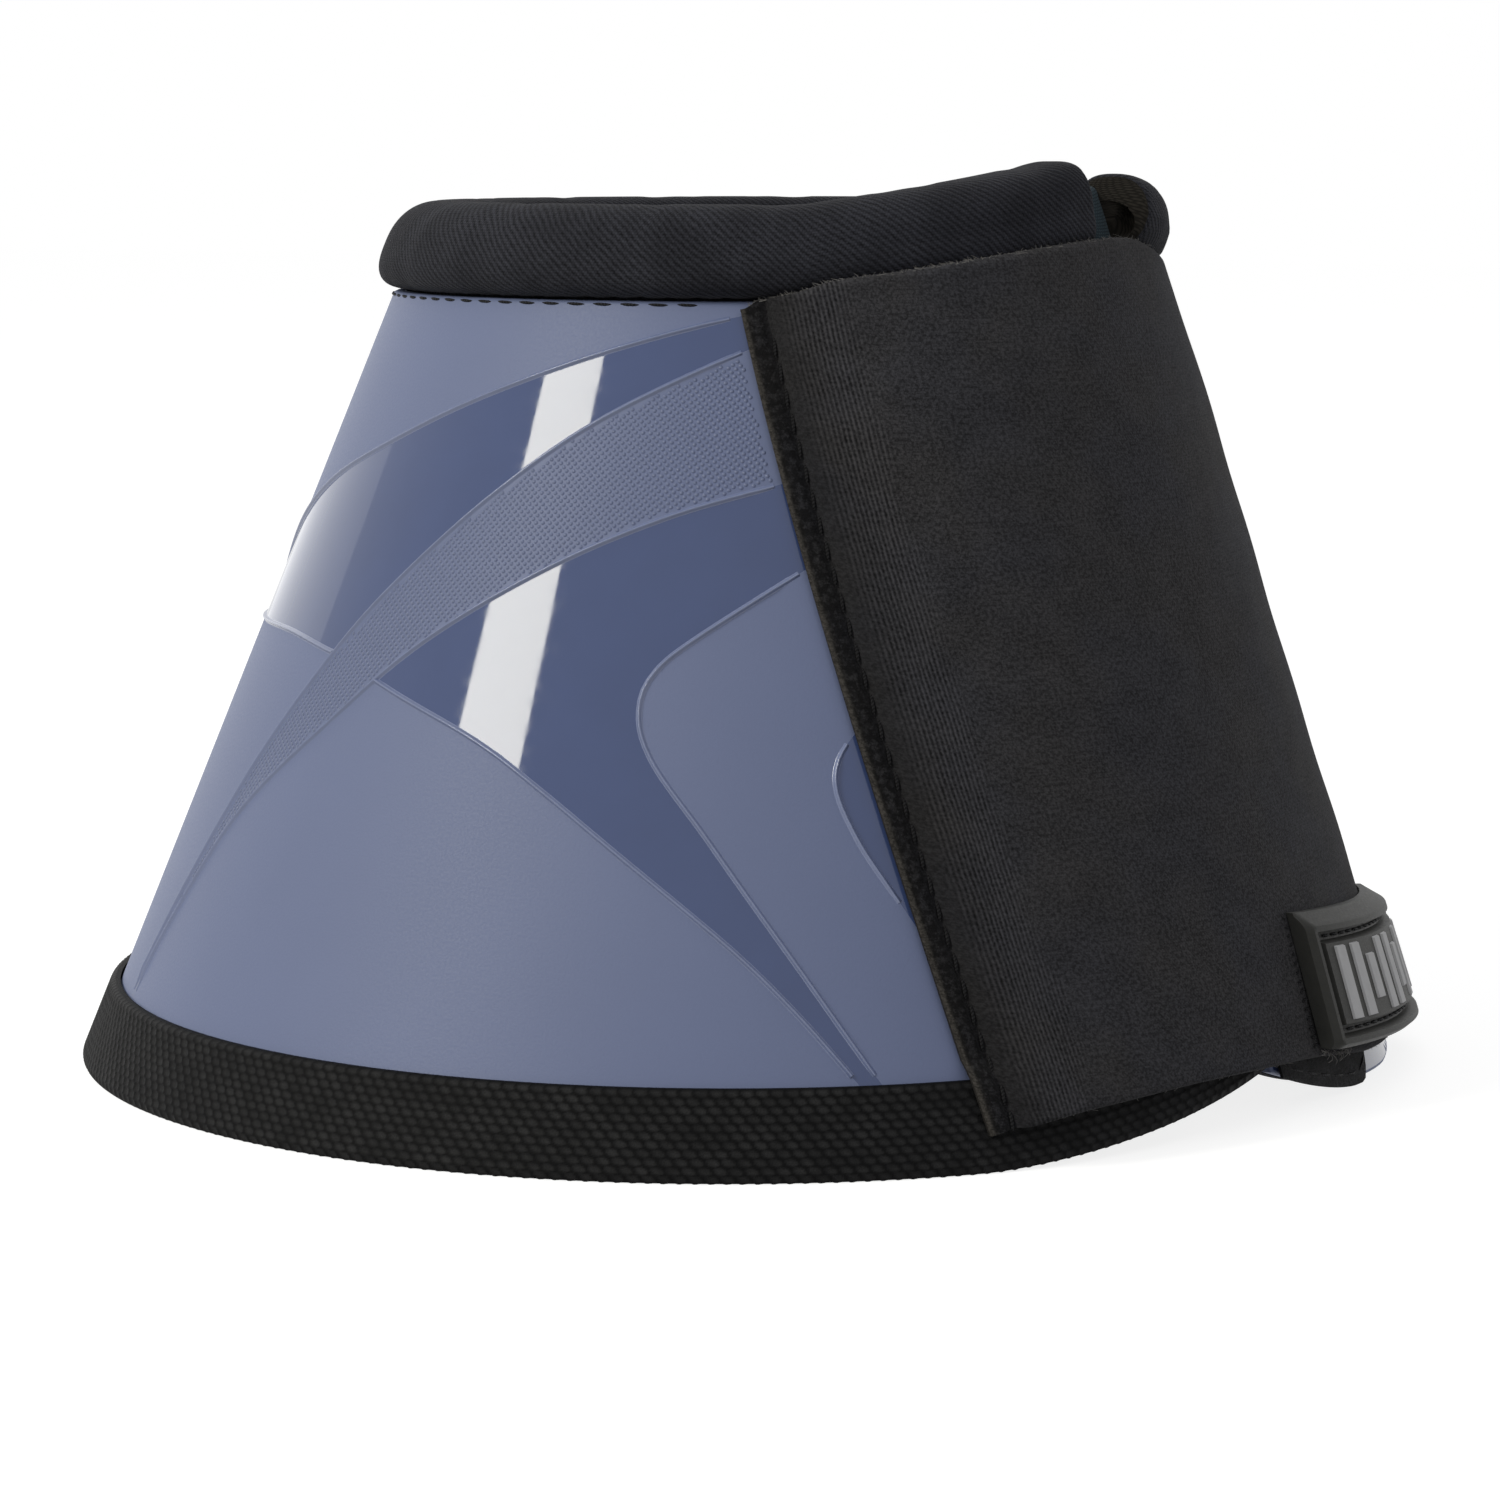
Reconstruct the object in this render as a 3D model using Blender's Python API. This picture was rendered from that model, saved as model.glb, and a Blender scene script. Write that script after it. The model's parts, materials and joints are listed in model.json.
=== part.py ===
"""Overreach boot: a bell-shaped hoof boot with a moulded shell, a soft rolled collar,
a bound lower edge and one wide closure flap.

The boot is a C-shaped band on a leaning cone. Every piece is laid out on that cone by three
numbers: a turn angle round +Z (0 is +X, through the closure), a height above the ground,
and an offset outwards from the shell's outer face. Metres, +Z up.
"""
import math

import bmesh
import bpy
from mathutils import Matrix, Vector

# Shell
shell_bottom_radius = 0.0886   # outer face, carried down to the ground
shell_top_radius = 0.0504      # outer face at the shell's top edge
shell_height = 0.1050          # top edge at the back
shell_wall = 0.0020
shell_lean = 0.0052            # the top ring stands this far forward of the bottom ring
closure_angle = -13.5          # middle of the gap between the two ends
closure_gap = 0.0014           # between the two ends, at the bottom

# Lining
lining_wall = 0.0030
lining_rise = 0.0008           # the lining stands above the shell, into the collar

# Collar
collar_half_width = 0.0055
collar_half_height = 0.0059
collar_squareness = 2.6        # 2 is an ellipse, more is squarer
collar_cover_wall = 0.0008
collar_inset = 0.0019          # tube centre behind the shell's outer face
collar_tail_length = 0.0080    # seam allowance sewn in below the collar
collar_tail_stub = 0.0005      # what is left of it where the left end reaches over the closure
collar_gather_length = 0.0030  # the right end is drawn in over this length
collar_gather_shares = ((0.0, 0.62), (0.3, 0.84), (0.65, 0.96), (1.0, 1.0))  # run along, tube width
collar_cut_length = 0.0016     # the left end is cut nearly square
collar_cut_shares = ((0.0, 0.86), (0.4, 0.95), (1.0, 1.0))
collar_start_angle = 8.0       # the collar's right end, behind the flap
collar_end_angle = -9.0        # its left end, past the closure
collar_press = 0.0045          # the right end is pressed out over the flap's top edge
collar_press_start = 0.0030    # from this height above the shell's top edge
collar_press_rise = 0.0070     # over this height
collar_press_spans = (-9.0, 6.0, 34.0, 80.0)  # degrees from the right end: none, full, full, none
collar_tab_wall = 0.0022
collar_tab_height = 0.0095

# Closing ends: the top edge climbs towards the closure, the lower corners are rounded away
left_top_climb = 0.0054
right_top_climb = 0.0042
left_climb_span = 48.0         # degrees over which the top edge climbs on the left
right_climb_span = 58.0
left_corner_rise = 0.0073
right_corner_rise = 0.0048
left_corner_span = 33.0
right_corner_span = 14.0
corner_power = 1.5

# Bottom binding
binding_wall = 0.0010
binding_height = 0.0110
binding_roll = 0.0012          # chamfer where the tape turns under
binding_end_angle = 26.0       # the underlapping right end is unbound

# Swirl lines on the shell
ridge_width = 0.0012
ridge_height = 0.0005
ridge_root = 0.0005            # depth of the line's foot inside the wall
ridge_step = 0.0042            # distance between points along a line

# Closure flap
flap_proud = 0.0052            # outer face above the shell
flap_bottom = 0.0041           # lower end of the root strip
flap_bottom_climb = 0.0042     # how far the lower edge climbs above that
flap_bottom_shares = ((-46.0, 0.14), (-40.0, 0.60), (-34.0, 0.82), (-26.0, 1.0), (-17.0, 0.97),
                      (-9.0, 0.81), (0.0, 0.42), (18.0, 0.2), (37.0, 0.1))  # by turn angle
flap_top_climb = 0.0075        # how far the top edge climbs above the shell's height at the back
flap_top_shares = ((-69.0, 0.0), (-63.0, 0.17), (-58.0, 0.36), (-48.0, 0.52), (-38.0, 0.68),
                   (-23.0, 0.89), (-7.0, 1.0), (2.0, 0.95), (18.0, 0.60), (37.0, 0.35))
flap_top_thinning = 0.0004     # the padding thins towards the top edge
flap_top_thinning_length = 0.0150
flap_inner_drop = 0.0012       # the inner face ends below the shell's top edge, clear of the collar
flap_edge_radius = 0.0012
flap_shoulder = 0.0050         # width of the padded shoulder's rise
flap_shoulder_shares = (0.0, 0.25, 0.6, 1.0)
flap_step_run = 0.0025         # height over which the inner face steps down off the binding
flap_ramp_angle = 10.0         # turn over which the inner face rises to clear the tapes
flap_ramp_lead_angle = 2.0     # and how far before the shell's left end the ramp is done
flap_free_angle = 37.0
flap_free_corner = 0.0100      # corner radius at the free end
root_bottom_angle = -45.2
root_top_angle = -70.8
root_bow_angle = 8.0           # bow of the sewn line between its ends
root_strip_width = 0.0026
root_strip_wall = 0.0010
hinge_height = 0.0032          # the peel axis above the shell, at mid height

# Fastening tapes
tape_wall = 0.0008
hook_tape_width_angle = 19.0
hook_tape_gap_angle = 2.0
hook_tape_start_angle = -6.5
tape_margin = 0.0060           # tape ends short of the flap's and shell's edges
loop_pad_margin_angle = 1.5
loop_corner_margin = 0.0006    # the pad reaches down to the shell's lower corner at the closure
loop_corner_angles = (4.0, 12.0)

# Badge
badge_start_angle = -10.3
badge_width = 0.0520
badge_height = 0.0172
badge_wall = 0.0030
badge_rim = 0.0018
badge_recess = 0.0014
badge_bottom = 0.0090
badge_droop = 0.0030           # the far end hangs this much lower
badge_corner_slope = 0.0003
badge_bar_count = 9
badge_bar_share = 0.5          # of the pitch
badge_bar_length = 0.0110
badge_bar_height = 0.0004
badge_bar_slope = 0.0003
badge_floor_wall = 0.0008

# Fits
seat_gap = 0.0003              # between pieces that touch

# Facets
ring_step = 4.0                # degrees between rings round the boot
collar_ring_step = 7.0
collar_outer_sides = 12
collar_inner_sides = 12
flap_columns = 18
flap_rows = 6
root_strip_rows = 9

taper = (shell_bottom_radius - shell_top_radius) / shell_height
lean = shell_lean / shell_height
slant = math.sqrt(1.0 + taper * taper)
half_gap_angle = math.degrees(closure_gap / 2.0 / shell_bottom_radius)
right_end_angle = closure_angle + half_gap_angle
left_end_angle = closure_angle - half_gap_angle + 360.0
shell_lower_edge = binding_wall + seat_gap

# Offsets of the layers from the shell's outer face, outwards positive
lining_outer = -shell_wall - seat_gap
lining_inner = lining_outer - lining_wall
tail_outer = lining_outer
tail_inner = tail_outer - collar_cover_wall
lining_top_outer = tail_inner - seat_gap
inner_tail_outer = lining_inner - seat_gap
inner_tail_inner = inner_tail_outer - collar_cover_wall
binding_inner = lining_inner - seat_gap - binding_wall
loop_inner = seat_gap
loop_outer = loop_inner + tape_wall
hook_inner = loop_outer + seat_gap
hook_outer = hook_inner + tape_wall
flap_over_tape = hook_outer + seat_gap
flap_over_binding = seat_gap + binding_wall + seat_gap
badge_seat = flap_proud + seat_gap
badge_outer = badge_seat + badge_wall


def signed(angle):
    """The same direction as an angle between -180 and 180 degrees from the closure's middle."""
    return (angle - closure_angle + 180.0) % 360.0 - 180.0


def smooth_share(value):
    share = min(max(value, 0.0), 1.0)
    return share * share * (3.0 - 2.0 * share)


def mix(low, high, share):
    return low + (high - low) * share


def line_share(points, angle):
    """The share at an angle on a smooth line through (angle, share) points."""
    knots = [points[0], *points, points[-1]]
    for before, start, end, after in zip(knots, knots[1:], knots[2:], knots[3:]):
        if angle <= end[0] or end is points[-1]:
            span = end[0] - start[0]
            share = min(max((angle - start[0]) / span, 0.0), 1.0)
            leave = (end[1] - before[1]) / (end[0] - before[0]) * span
            arrive = (after[1] - start[1]) / (after[0] - start[0]) * span
            square = share * share
            cube = square * share
            return (start[1] * (2.0 * cube - 3.0 * square + 1.0) + leave * (cube - 2.0 * square + share)
                    + end[1] * (3.0 * square - 2.0 * cube) + arrive * (cube - square))
    return points[-1][1]


def radius_at(height):
    """Radius of the shell's outer face at a height."""
    return shell_bottom_radius - taper * height


# The boot is set back so that its widest places, badge and binding, lie evenly about the origin
badge_front_turn = math.radians(-badge_start_angle)
badge_front_height = badge_bottom - badge_droop * badge_front_turn * radius_at(badge_bottom) / badge_width
set_back = (radius_at(badge_front_height) + badge_outer * slant
            - radius_at(binding_roll) - (seat_gap + binding_wall) * slant) / 2.0


def place(angle, height, offset):
    """A point of the boot, from turn angle in degrees, height and outward offset."""
    turn = math.radians(angle)
    across = Vector((math.cos(turn), math.sin(turn), taper - lean * math.cos(turn))).normalized()
    level = height - offset * across.z
    radius = radius_at(level)
    foot = Vector((lean * level + radius * math.cos(turn), radius * math.sin(turn), level))
    return foot + across * offset - Vector((set_back, 0.0, 0.0))


def angle_for(distance, height):
    """The turn angle that a distance round the boot takes up at a height."""
    return math.degrees(distance / radius_at(height))


def top_climb(angle):
    """How far the top edge has climbed above its height at the back."""
    side = signed(angle)
    if side <= 0.0:
        return left_top_climb * max(0.0, 1.0 + side / left_climb_span)
    return right_top_climb * max(0.0, 1.0 - side / right_climb_span)


def corner_rise(angle):
    """How far the lower edge has risen towards an end."""
    side = signed(angle)
    if side <= 0.0:
        return left_corner_rise * max(0.0, 1.0 + side / left_corner_span) ** corner_power
    return right_corner_rise * max(0.0, 1.0 - side / right_corner_span) ** corner_power


def shell_top(angle):
    return shell_height + top_climb(angle)


def shell_bottom(angle):
    return shell_lower_edge + corner_rise(angle)


def turn_steps(start, end, step=ring_step):
    """Angles from start to end, evenly spaced at about one step."""
    count = max(2, math.ceil(abs(end - start) / step))
    return [mix(start, end, index / count) for index in range(count + 1)]


def make_material(name, color, roughness, metallic=0.0):
    material = bpy.data.materials.new(name)
    material.use_nodes = True
    shader = material.node_tree.nodes["Principled BSDF"]
    shader.inputs["Base Color"].default_value = (*color, 1.0)
    shader.inputs["Roughness"].default_value = roughness
    shader.inputs["Metallic"].default_value = metallic
    return material


def finish_object(name, mesh_data, material, sharp_angle=35.0):
    mesh = bpy.data.meshes.new(name)
    mesh_data.to_mesh(mesh)
    mesh_data.free()
    mesh.materials.append(material)
    mesh.shade_smooth()
    mesh.set_sharp_from_angle(angle=math.radians(sharp_angle))
    thing = bpy.data.objects.new(name, mesh)
    bpy.context.scene.collection.objects.link(thing)
    return thing


def loft(name, rings, material):
    """A closed body through rings of points, with a face over each end ring."""
    mesh_data = bmesh.new()
    rows = [[mesh_data.verts.new(point) for point in ring] for ring in rings]
    count = len(rings[0])
    for lower, upper in zip(rows, rows[1:]):
        for index in range(count):
            following = (index + 1) % count
            mesh_data.faces.new((lower[index], lower[following], upper[following], upper[index]))
    mesh_data.faces.new(rows[0][::-1])
    mesh_data.faces.new(rows[-1])
    bmesh.ops.recalc_face_normals(mesh_data, faces=mesh_data.faces)
    return finish_object(name, mesh_data, material)


def slab(name, columns, rows, point_at, material):
    """A closed sheet. point_at(column, row, face) gives its points, face 0 inside and 1 outside."""
    mesh_data = bmesh.new()
    faces = [[[mesh_data.verts.new(point_at(column, row, face)) for row in rows]
              for column in columns] for face in (0, 1)]
    last_column = len(columns) - 1
    last_row = len(rows) - 1
    for grid in faces:
        for i in range(last_column):
            for j in range(last_row):
                mesh_data.faces.new((grid[i][j], grid[i + 1][j], grid[i + 1][j + 1], grid[i][j + 1]))
    border = [(i, 0) for i in range(last_column)]
    border += [(last_column, j) for j in range(last_row)]
    border += [(i, last_row) for i in range(last_column, 0, -1)]
    border += [(0, j) for j in range(last_row, 0, -1)]
    for (i, j), (k, m) in zip(border, border[1:] + border[:1]):
        mesh_data.faces.new((faces[0][i][j], faces[0][k][m], faces[1][k][m], faces[1][i][j]))
    bmesh.ops.recalc_face_normals(mesh_data, faces=mesh_data.faces)
    return finish_object(name, mesh_data, material)


# Moulded shell

# The swirl lines, each from the closure side round to the back: degrees from +X, and shares of
# the shell's height. The same lines are laid on both sides of the boot.
swirl_line_shares = {
    "upper_band_top": [(58, 1.00), (72, 0.98), (90, 0.937), (108, 0.88), (124, 0.82), (140, 0.76),
                       (155, 0.68), (166, 0.575)],
    "upper_band_bottom": [(51, 1.00), (70, 0.94), (88, 0.86), (101, 0.77), (112, 0.667), (120, 0.57),
                          (129, 0.42), (136, 0.25), (140, 0.115)],
    "dotted_band_bottom": [(40, 0.855), (52, 0.82), (64, 0.787), (78, 0.746), (92, 0.682), (106, 0.59),
                           (117, 0.485), (129, 0.354), (136.5, 0.20), (139, 0.115)],
    "upper_band_end": [(120.5, 0.565), (133, 0.58), (150, 0.578), (166, 0.575)],
    "lower_band_outer": [(111.5, 0.54), (97, 0.487), (87.5, 0.43), (77, 0.346), (68, 0.262), (62, 0.19),
                         (57, 0.115)],
    "tongue": [(40, 0.785), (52, 0.735), (61, 0.688), (72, 0.615), (77, 0.57), (78.3, 0.525),
               (76.5, 0.47), (70, 0.376), (62, 0.245), (55, 0.115)],
    "pocket": [(40, 0.585), (50, 0.54), (55.5, 0.503), (58, 0.45), (56, 0.38), (51, 0.285), (45, 0.16)],
}


def root_angle(height):
    """Turn angle of the flap's sewn outer edge at a height."""
    share = height / shell_height
    straight = mix(root_bottom_angle, root_top_angle, share)
    return straight + root_bow_angle * share * (1.0 - share)


def curve_points(controls, step):
    """Points of one smooth curve through control points given as (angle, height)."""
    points = []
    padded = [controls[0]] + controls + [controls[-1]]
    for before, start, end, after in zip(padded, padded[1:], padded[2:], padded[3:]):
        length = math.dist((math.radians(start[0]) * radius_at(start[1]), start[1] * slant),
                           (math.radians(end[0]) * radius_at(end[1]), end[1] * slant))
        count = max(1, round(length / step))
        for index in range(count):
            share = index / count
            square = share * share
            cube = square * share
            weights = (-0.5 * cube + square - 0.5 * share, 1.5 * cube - 2.5 * square + 1.0,
                       -1.5 * cube + 2.0 * square + 0.5 * share, 0.5 * cube - 0.5 * square)
            points.append(tuple(sum(weight * knot[axis] for weight, knot in
                                    zip(weights, (before, start, end, after))) for axis in (0, 1)))
    points.append(controls[-1])
    return points


def ridge_is_clear(angle, height):
    """True where a swirl line isn't under the flap, the loop pad or the collar."""
    side = (angle + 180.0) % 360.0 - 180.0
    margin = angle_for(2.0 * ridge_width, height)
    if side < 0.0:
        clear = side < root_angle(height) - margin
    else:
        clear = side > flap_free_angle + loop_pad_margin_angle + margin
    return clear and height < shell_height - ridge_width


def ridge(name, points, material):
    """One raised line: a low half-round bead along points on the shell, tapered at its ends."""
    rings = []
    for index, (angle, height) in enumerate(points):
        before = Vector(place(*points[max(index - 1, 0)], 0.0))
        after = Vector(place(*points[min(index + 1, len(points) - 1)], 0.0))
        along = (after - before).normalized()
        foot = place(angle, height, 0.0)
        across = (place(angle, height, ridge_width) - foot).normalized()
        side = along.cross(across).normalized()
        half = ridge_width / 2.0
        profile = ((-half, -ridge_root), (-half, 0.0), (-half / 2.0, ridge_height),
                   (half / 2.0, ridge_height), (half, 0.0), (half, -ridge_root))
        rings.append([foot + side * x + across * y for x, y in profile])
    bead = loft(name, rings, material)
    bead.hide_render = True
    bead.display_type = "WIRE"
    return bead


def make_shell(material):
    def point_at(angle, edge, face):
        height = shell_top(angle) if edge else shell_bottom(angle)
        return place(angle, height, 0.0 if face else -shell_wall)

    shell = slab("moulded_shell", turn_steps(right_end_angle, left_end_angle), (0, 1), point_at, material)
    beads = bpy.data.collections.new("swirl_beads")
    bpy.context.scene.collection.children.link(beads)
    for line, shares in swirl_line_shares.items():
        for mirror in (1.0, -1.0):
            controls = [(mirror * angle, share * shell_height) for angle, share in shares]
            points = [point for point in curve_points(controls, ridge_step) if ridge_is_clear(*point)]
            side = "left" if mirror < 0.0 else "right"
            bead = ridge(f"bead_{line}_{side}", points, material)
            bpy.context.scene.collection.objects.unlink(bead)
            beads.objects.link(bead)
    union = shell.modifiers.new("swirl_lines", "BOOLEAN")
    union.operation = "UNION"
    union.operand_type = "COLLECTION"
    union.collection = beads
    union.solver = "EXACT"
    return shell


# Lining

def make_lining(material):
    step_height = collar_tail_length + collar_cover_wall

    def ring(angle):
        top = shell_top(angle) + lining_rise
        step_at = shell_top(angle) - step_height
        bottom = shell_bottom(angle)
        past_step = step_at + collar_cover_wall
        profile = ((lining_outer, bottom), (lining_outer, step_at), (lining_top_outer, past_step),
                   (lining_top_outer, top), (lining_inner, top), (lining_inner, bottom))
        return [place(angle, height, offset) for offset, height in profile]

    rings = [ring(angle) for angle in turn_steps(right_end_angle, left_end_angle)]
    return loft("neoprene_lining", rings, material)


# Collar

def collar_base(angle):
    """Height of the seam under the collar. Past the shell's left end it stays at that end's height."""
    return shell_top(min(angle, left_end_angle))


def collar_place(angle, rise, offset):
    """A point of the collar at a height above its seam. Its right end is pressed outwards."""
    along = (angle - collar_start_angle + 180.0) % 360.0 - 180.0
    none, full, still_full, gone = collar_press_spans
    fade = smooth_share((along - none) / (full - none)) * smooth_share((gone - along) / (gone - still_full))
    press = collar_press * fade * smooth_share((rise - collar_press_start) / collar_press_rise)
    return place(angle, collar_base(angle) + rise, offset + press)


def tube_point(turn, inset, gather):
    """A point of the tube's section, as offset and height above the seam.

    inset is the depth below its outer face, and gather draws it in towards the centre."""
    across = math.cos(turn)
    up = math.sin(turn)
    power = collar_squareness
    reach = gather * (abs(across) ** power + abs(up) ** power) ** (-1.0 / power)
    return (reach * across * (collar_half_width - inset) - collar_inset,
            reach * up * (collar_half_height - inset) + seat_gap + collar_half_height)


def opening_turn(offset, inset):
    """The turn at which the tube's lower side passes an offset."""
    across = (offset + collar_inset) / (collar_half_width - inset)
    return math.atan2(-((1.0 - abs(across) ** collar_squareness) ** (1.0 / collar_squareness)), across)


def tube_arc(start, end, count, inset, gather):
    return [tube_point(mix(start, end, index / count), inset, gather) for index in range(count + 1)]


def inner_arc(inset, gather):
    """The arc of the cover's inner face, from its back edge over the top to its front edge, or inside it."""
    start = opening_turn(inner_tail_outer, collar_cover_wall) + 2.0 * math.pi
    end = opening_turn(tail_inner, collar_cover_wall)
    return tube_arc(start, end, collar_inner_sides, inset, gather)


def collar_section(angle, gather):
    """The cover's section: a tube open below, with a sewn-in tail on each side of the opening."""
    start = opening_turn(tail_outer, 0.0)
    end = opening_turn(inner_tail_inner, 0.0) + 2.0 * math.pi
    over_lining = lining_rise + seat_gap
    sewn_in = angle < left_end_angle + half_gap_angle / 2.0
    tail = -collar_tail_length if sewn_in else -collar_tail_stub
    section = [(tail_outer, tail), (tail_outer, 0.0)]
    section += tube_arc(start, end, collar_outer_sides, 0.0, gather)
    section += [(inner_tail_inner, over_lining), (inner_tail_inner, tail)]
    section += [(inner_tail_outer, tail), (inner_tail_outer, over_lining)]
    section += inner_arc(collar_cover_wall, gather)
    section += [(tail_inner, over_lining), (tail_inner, tail)]
    return [collar_place(angle, rise, offset) for offset, rise in section]


def collar_run(inset):
    """Angles along the collar with the share to which it is drawn in at its two ends.

    inset shortens the run at both ends."""
    start = collar_start_angle
    end = collar_end_angle + 360.0
    full_start = start + angle_for(collar_gather_length, shell_height)
    full_end = end - angle_for(collar_cut_length, shell_height)
    run = [(mix(start + inset, full_start, share), width) for share, width in collar_gather_shares]
    run += [(angle, 1.0) for angle in turn_steps(full_start, left_end_angle, collar_ring_step)[1:]]
    run.append((left_end_angle + half_gap_angle, 1.0))
    run += [(mix(end - inset, full_end, share), width) for share, width in reversed(collar_cut_shares)]
    return run


def make_collar_cover(material):
    return loft("collar_cover", [collar_section(*step) for step in collar_run(0.0)], material)


def make_collar_core(material):
    inset = collar_cover_wall + seat_gap

    def ring(angle, gather):
        return [collar_place(angle, rise, offset) for offset, rise in inner_arc(inset, gather)]

    run = collar_run(angle_for(inset, shell_height))
    return loft("collar_core", [ring(*step) for step in run], material)


def make_collar_tab(material):
    """The flat sewn tab that fills the space between the collar's two ends."""
    gap_angle = angle_for(seat_gap, shell_height)
    start = collar_end_angle + gap_angle
    end = collar_start_angle - gap_angle

    def ring(angle):
        bottom = lining_rise + seat_gap
        top = bottom + collar_tab_height
        half = collar_tab_wall / 2.0
        corner = half / 2.0
        profile = ((-half, bottom), (-half, top - corner), (0.0, top),
                   (half, top - corner), (half, bottom))
        return [collar_place(angle, rise, offset - collar_inset) for offset, rise in profile]

    return loft("collar_end_tab", [ring(angle) for angle in turn_steps(start, end)], material)


# Bottom binding

def make_binding(material):
    def ring(angle):
        low = corner_rise(angle)
        top = low + binding_height
        roll = binding_roll
        base = low + binding_wall
        leg_inner = seat_gap
        leg_outer = seat_gap + binding_wall
        lining_leg = lining_inner - seat_gap
        profile = ((leg_outer, top), (leg_outer, low + roll), (leg_outer - roll, low),
                   (binding_inner + roll, low), (binding_inner, low + roll), (binding_inner, top),
                   (lining_leg, top), (lining_leg, base), (leg_inner, base), (leg_inner, top))
        return [place(angle, height, offset) for offset, height in profile]

    rings = [ring(angle) for angle in turn_steps(binding_end_angle, left_end_angle)]
    return loft("bottom_binding", rings, material)


# Closure flap

def flap_height(row, angle):
    """Height of the flap at a share of the way from its lower to its upper edge."""
    lower = flap_bottom + flap_bottom_climb * line_share(flap_bottom_shares, angle)
    upper = shell_height + flap_top_climb * line_share(flap_top_shares, angle)
    corner = smooth_share((angle - flap_free_angle + angle_for(flap_free_corner, lower))
                          / angle_for(flap_free_corner, lower))
    trim = corner * flap_free_corner / 2.0
    return mix(lower + trim, upper - trim, row)


def make_root_strip(material):
    """The flap's flat sewn edge: it steps up where it crosses the binding."""
    over_binding = binding_height + seat_gap
    past_binding = over_binding + binding_wall
    top = shell_height - collar_cover_wall
    rows = [flap_bottom, over_binding, past_binding]
    rows += [mix(past_binding, top, index / root_strip_rows) for index in range(1, root_strip_rows + 1)]

    def point_at(column, height, face):
        inner = flap_over_binding if height <= over_binding else seat_gap
        outer = inner + root_strip_wall
        return place(root_angle(height) + angle_for(column, height), height, outer if face else inner)

    columns = (0.0, root_strip_width / 2.0, root_strip_width)
    return slab("flap_root_strip", columns, rows, point_at, material)


def flap_angle(column, height):
    """Turn angle at a share of the flap's width."""
    start = root_angle(height) + angle_for(root_strip_width + seat_gap, height)
    return mix(start, flap_free_angle, column)


def make_flap(material):
    middle_height = shell_height / 2.0
    width = radius_at(middle_height) * math.radians(flap_free_angle - root_angle(middle_height))
    shoulder = flap_shoulder / width
    edge = flap_edge_radius / shell_height
    step = (binding_height + left_corner_rise + 2.0 * seat_gap - flap_bottom) / shell_height
    past_step = step + flap_step_run / shell_height
    columns = [shoulder * share for share in flap_shoulder_shares]
    columns += [mix(shoulder, 1.0 - flap_edge_radius / width, index / flap_columns)
                for index in range(1, flap_columns + 1)] + [1.0]
    rows = [0.0, edge, step, past_step]
    rows += [mix(past_step, 1.0 - edge, index / flap_rows) for index in range(1, flap_rows + 1)] + [1.0]
    ramp_start = left_end_angle - 360.0 - flap_ramp_lead_angle - flap_ramp_angle

    def point_at(column, row, face):
        level = flap_height(row, flap_angle(column, middle_height))
        height = flap_height(row, flap_angle(column, level))
        angle = flap_angle(column, height)
        inner = mix(seat_gap, flap_over_tape, smooth_share((angle - ramp_start) / flap_ramp_angle))
        if row <= step:
            inner = max(inner, flap_over_binding)
        if not face:
            return place(angle, min(height, shell_top(angle) - flap_inner_drop), inner)
        rise = math.sin(math.pi / 2.0 * min(1.0, column / shoulder))
        below_top = (flap_height(1.0, angle) - height) / flap_top_thinning_length
        full = flap_proud - flap_top_thinning * (1.0 - smooth_share(below_top))
        outer = mix(inner + root_strip_wall, full, rise)
        if row in (0.0, 1.0) or column == 1.0:
            outer = min(outer, full - flap_edge_radius)
        return place(angle, height, outer)

    return slab("closure_flap", columns, rows, point_at, material)


def make_patch(name, start, end, lower, upper, inner, outer, material):
    """A thin sheet between two angles, wrapped on the boot."""
    def point_at(angle, row, face):
        return place(angle, mix(lower(angle), upper(angle), row), outer if face else inner)

    return slab(name, turn_steps(start, end), (0.0, 1.0), point_at, material)


def tape_lower(angle):
    return flap_bottom + flap_bottom_climb + tape_margin


def tape_upper(angle):
    return shell_top(angle) - tape_margin


def loop_lower(angle):
    """The loop pad's lower edge: it reaches down to the shell's lower corner beside the closure."""
    near, far = loop_corner_angles
    away = smooth_share((angle - near) / (far - near))
    return mix(shell_bottom(angle) + loop_corner_margin, tape_lower(angle), away)


# Badge

def badge_place(column, row, offset):
    """A point of the badge, from its distances along and up the badge."""
    height = badge_bottom + row - badge_droop * column / badge_width
    return place(badge_start_angle + angle_for(column, badge_bottom), height, offset)


def make_badge_base(material):
    rim = badge_rim
    slope = badge_corner_slope
    columns = (0.0, slope, rim - slope, rim, badge_width / 4.0, badge_width / 2.0, badge_width * 0.75,
               badge_width - rim, badge_width - rim + slope, badge_width - slope, badge_width)
    rows = (0.0, slope, rim - slope, rim, badge_height - rim, badge_height - rim + slope,
            badge_height - slope, badge_height)

    def point_at(column, row, face):
        inset = min(column, badge_width - column, row, badge_height - row)
        if not face:
            offset = badge_seat
        elif inset > rim - slope / 2.0:
            offset = badge_outer - badge_recess
        elif inset > slope / 2.0:
            offset = badge_outer
        else:
            offset = badge_outer - slope
        return badge_place(column, row, offset)

    return slab("badge_base", columns, rows, point_at, material)


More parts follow.
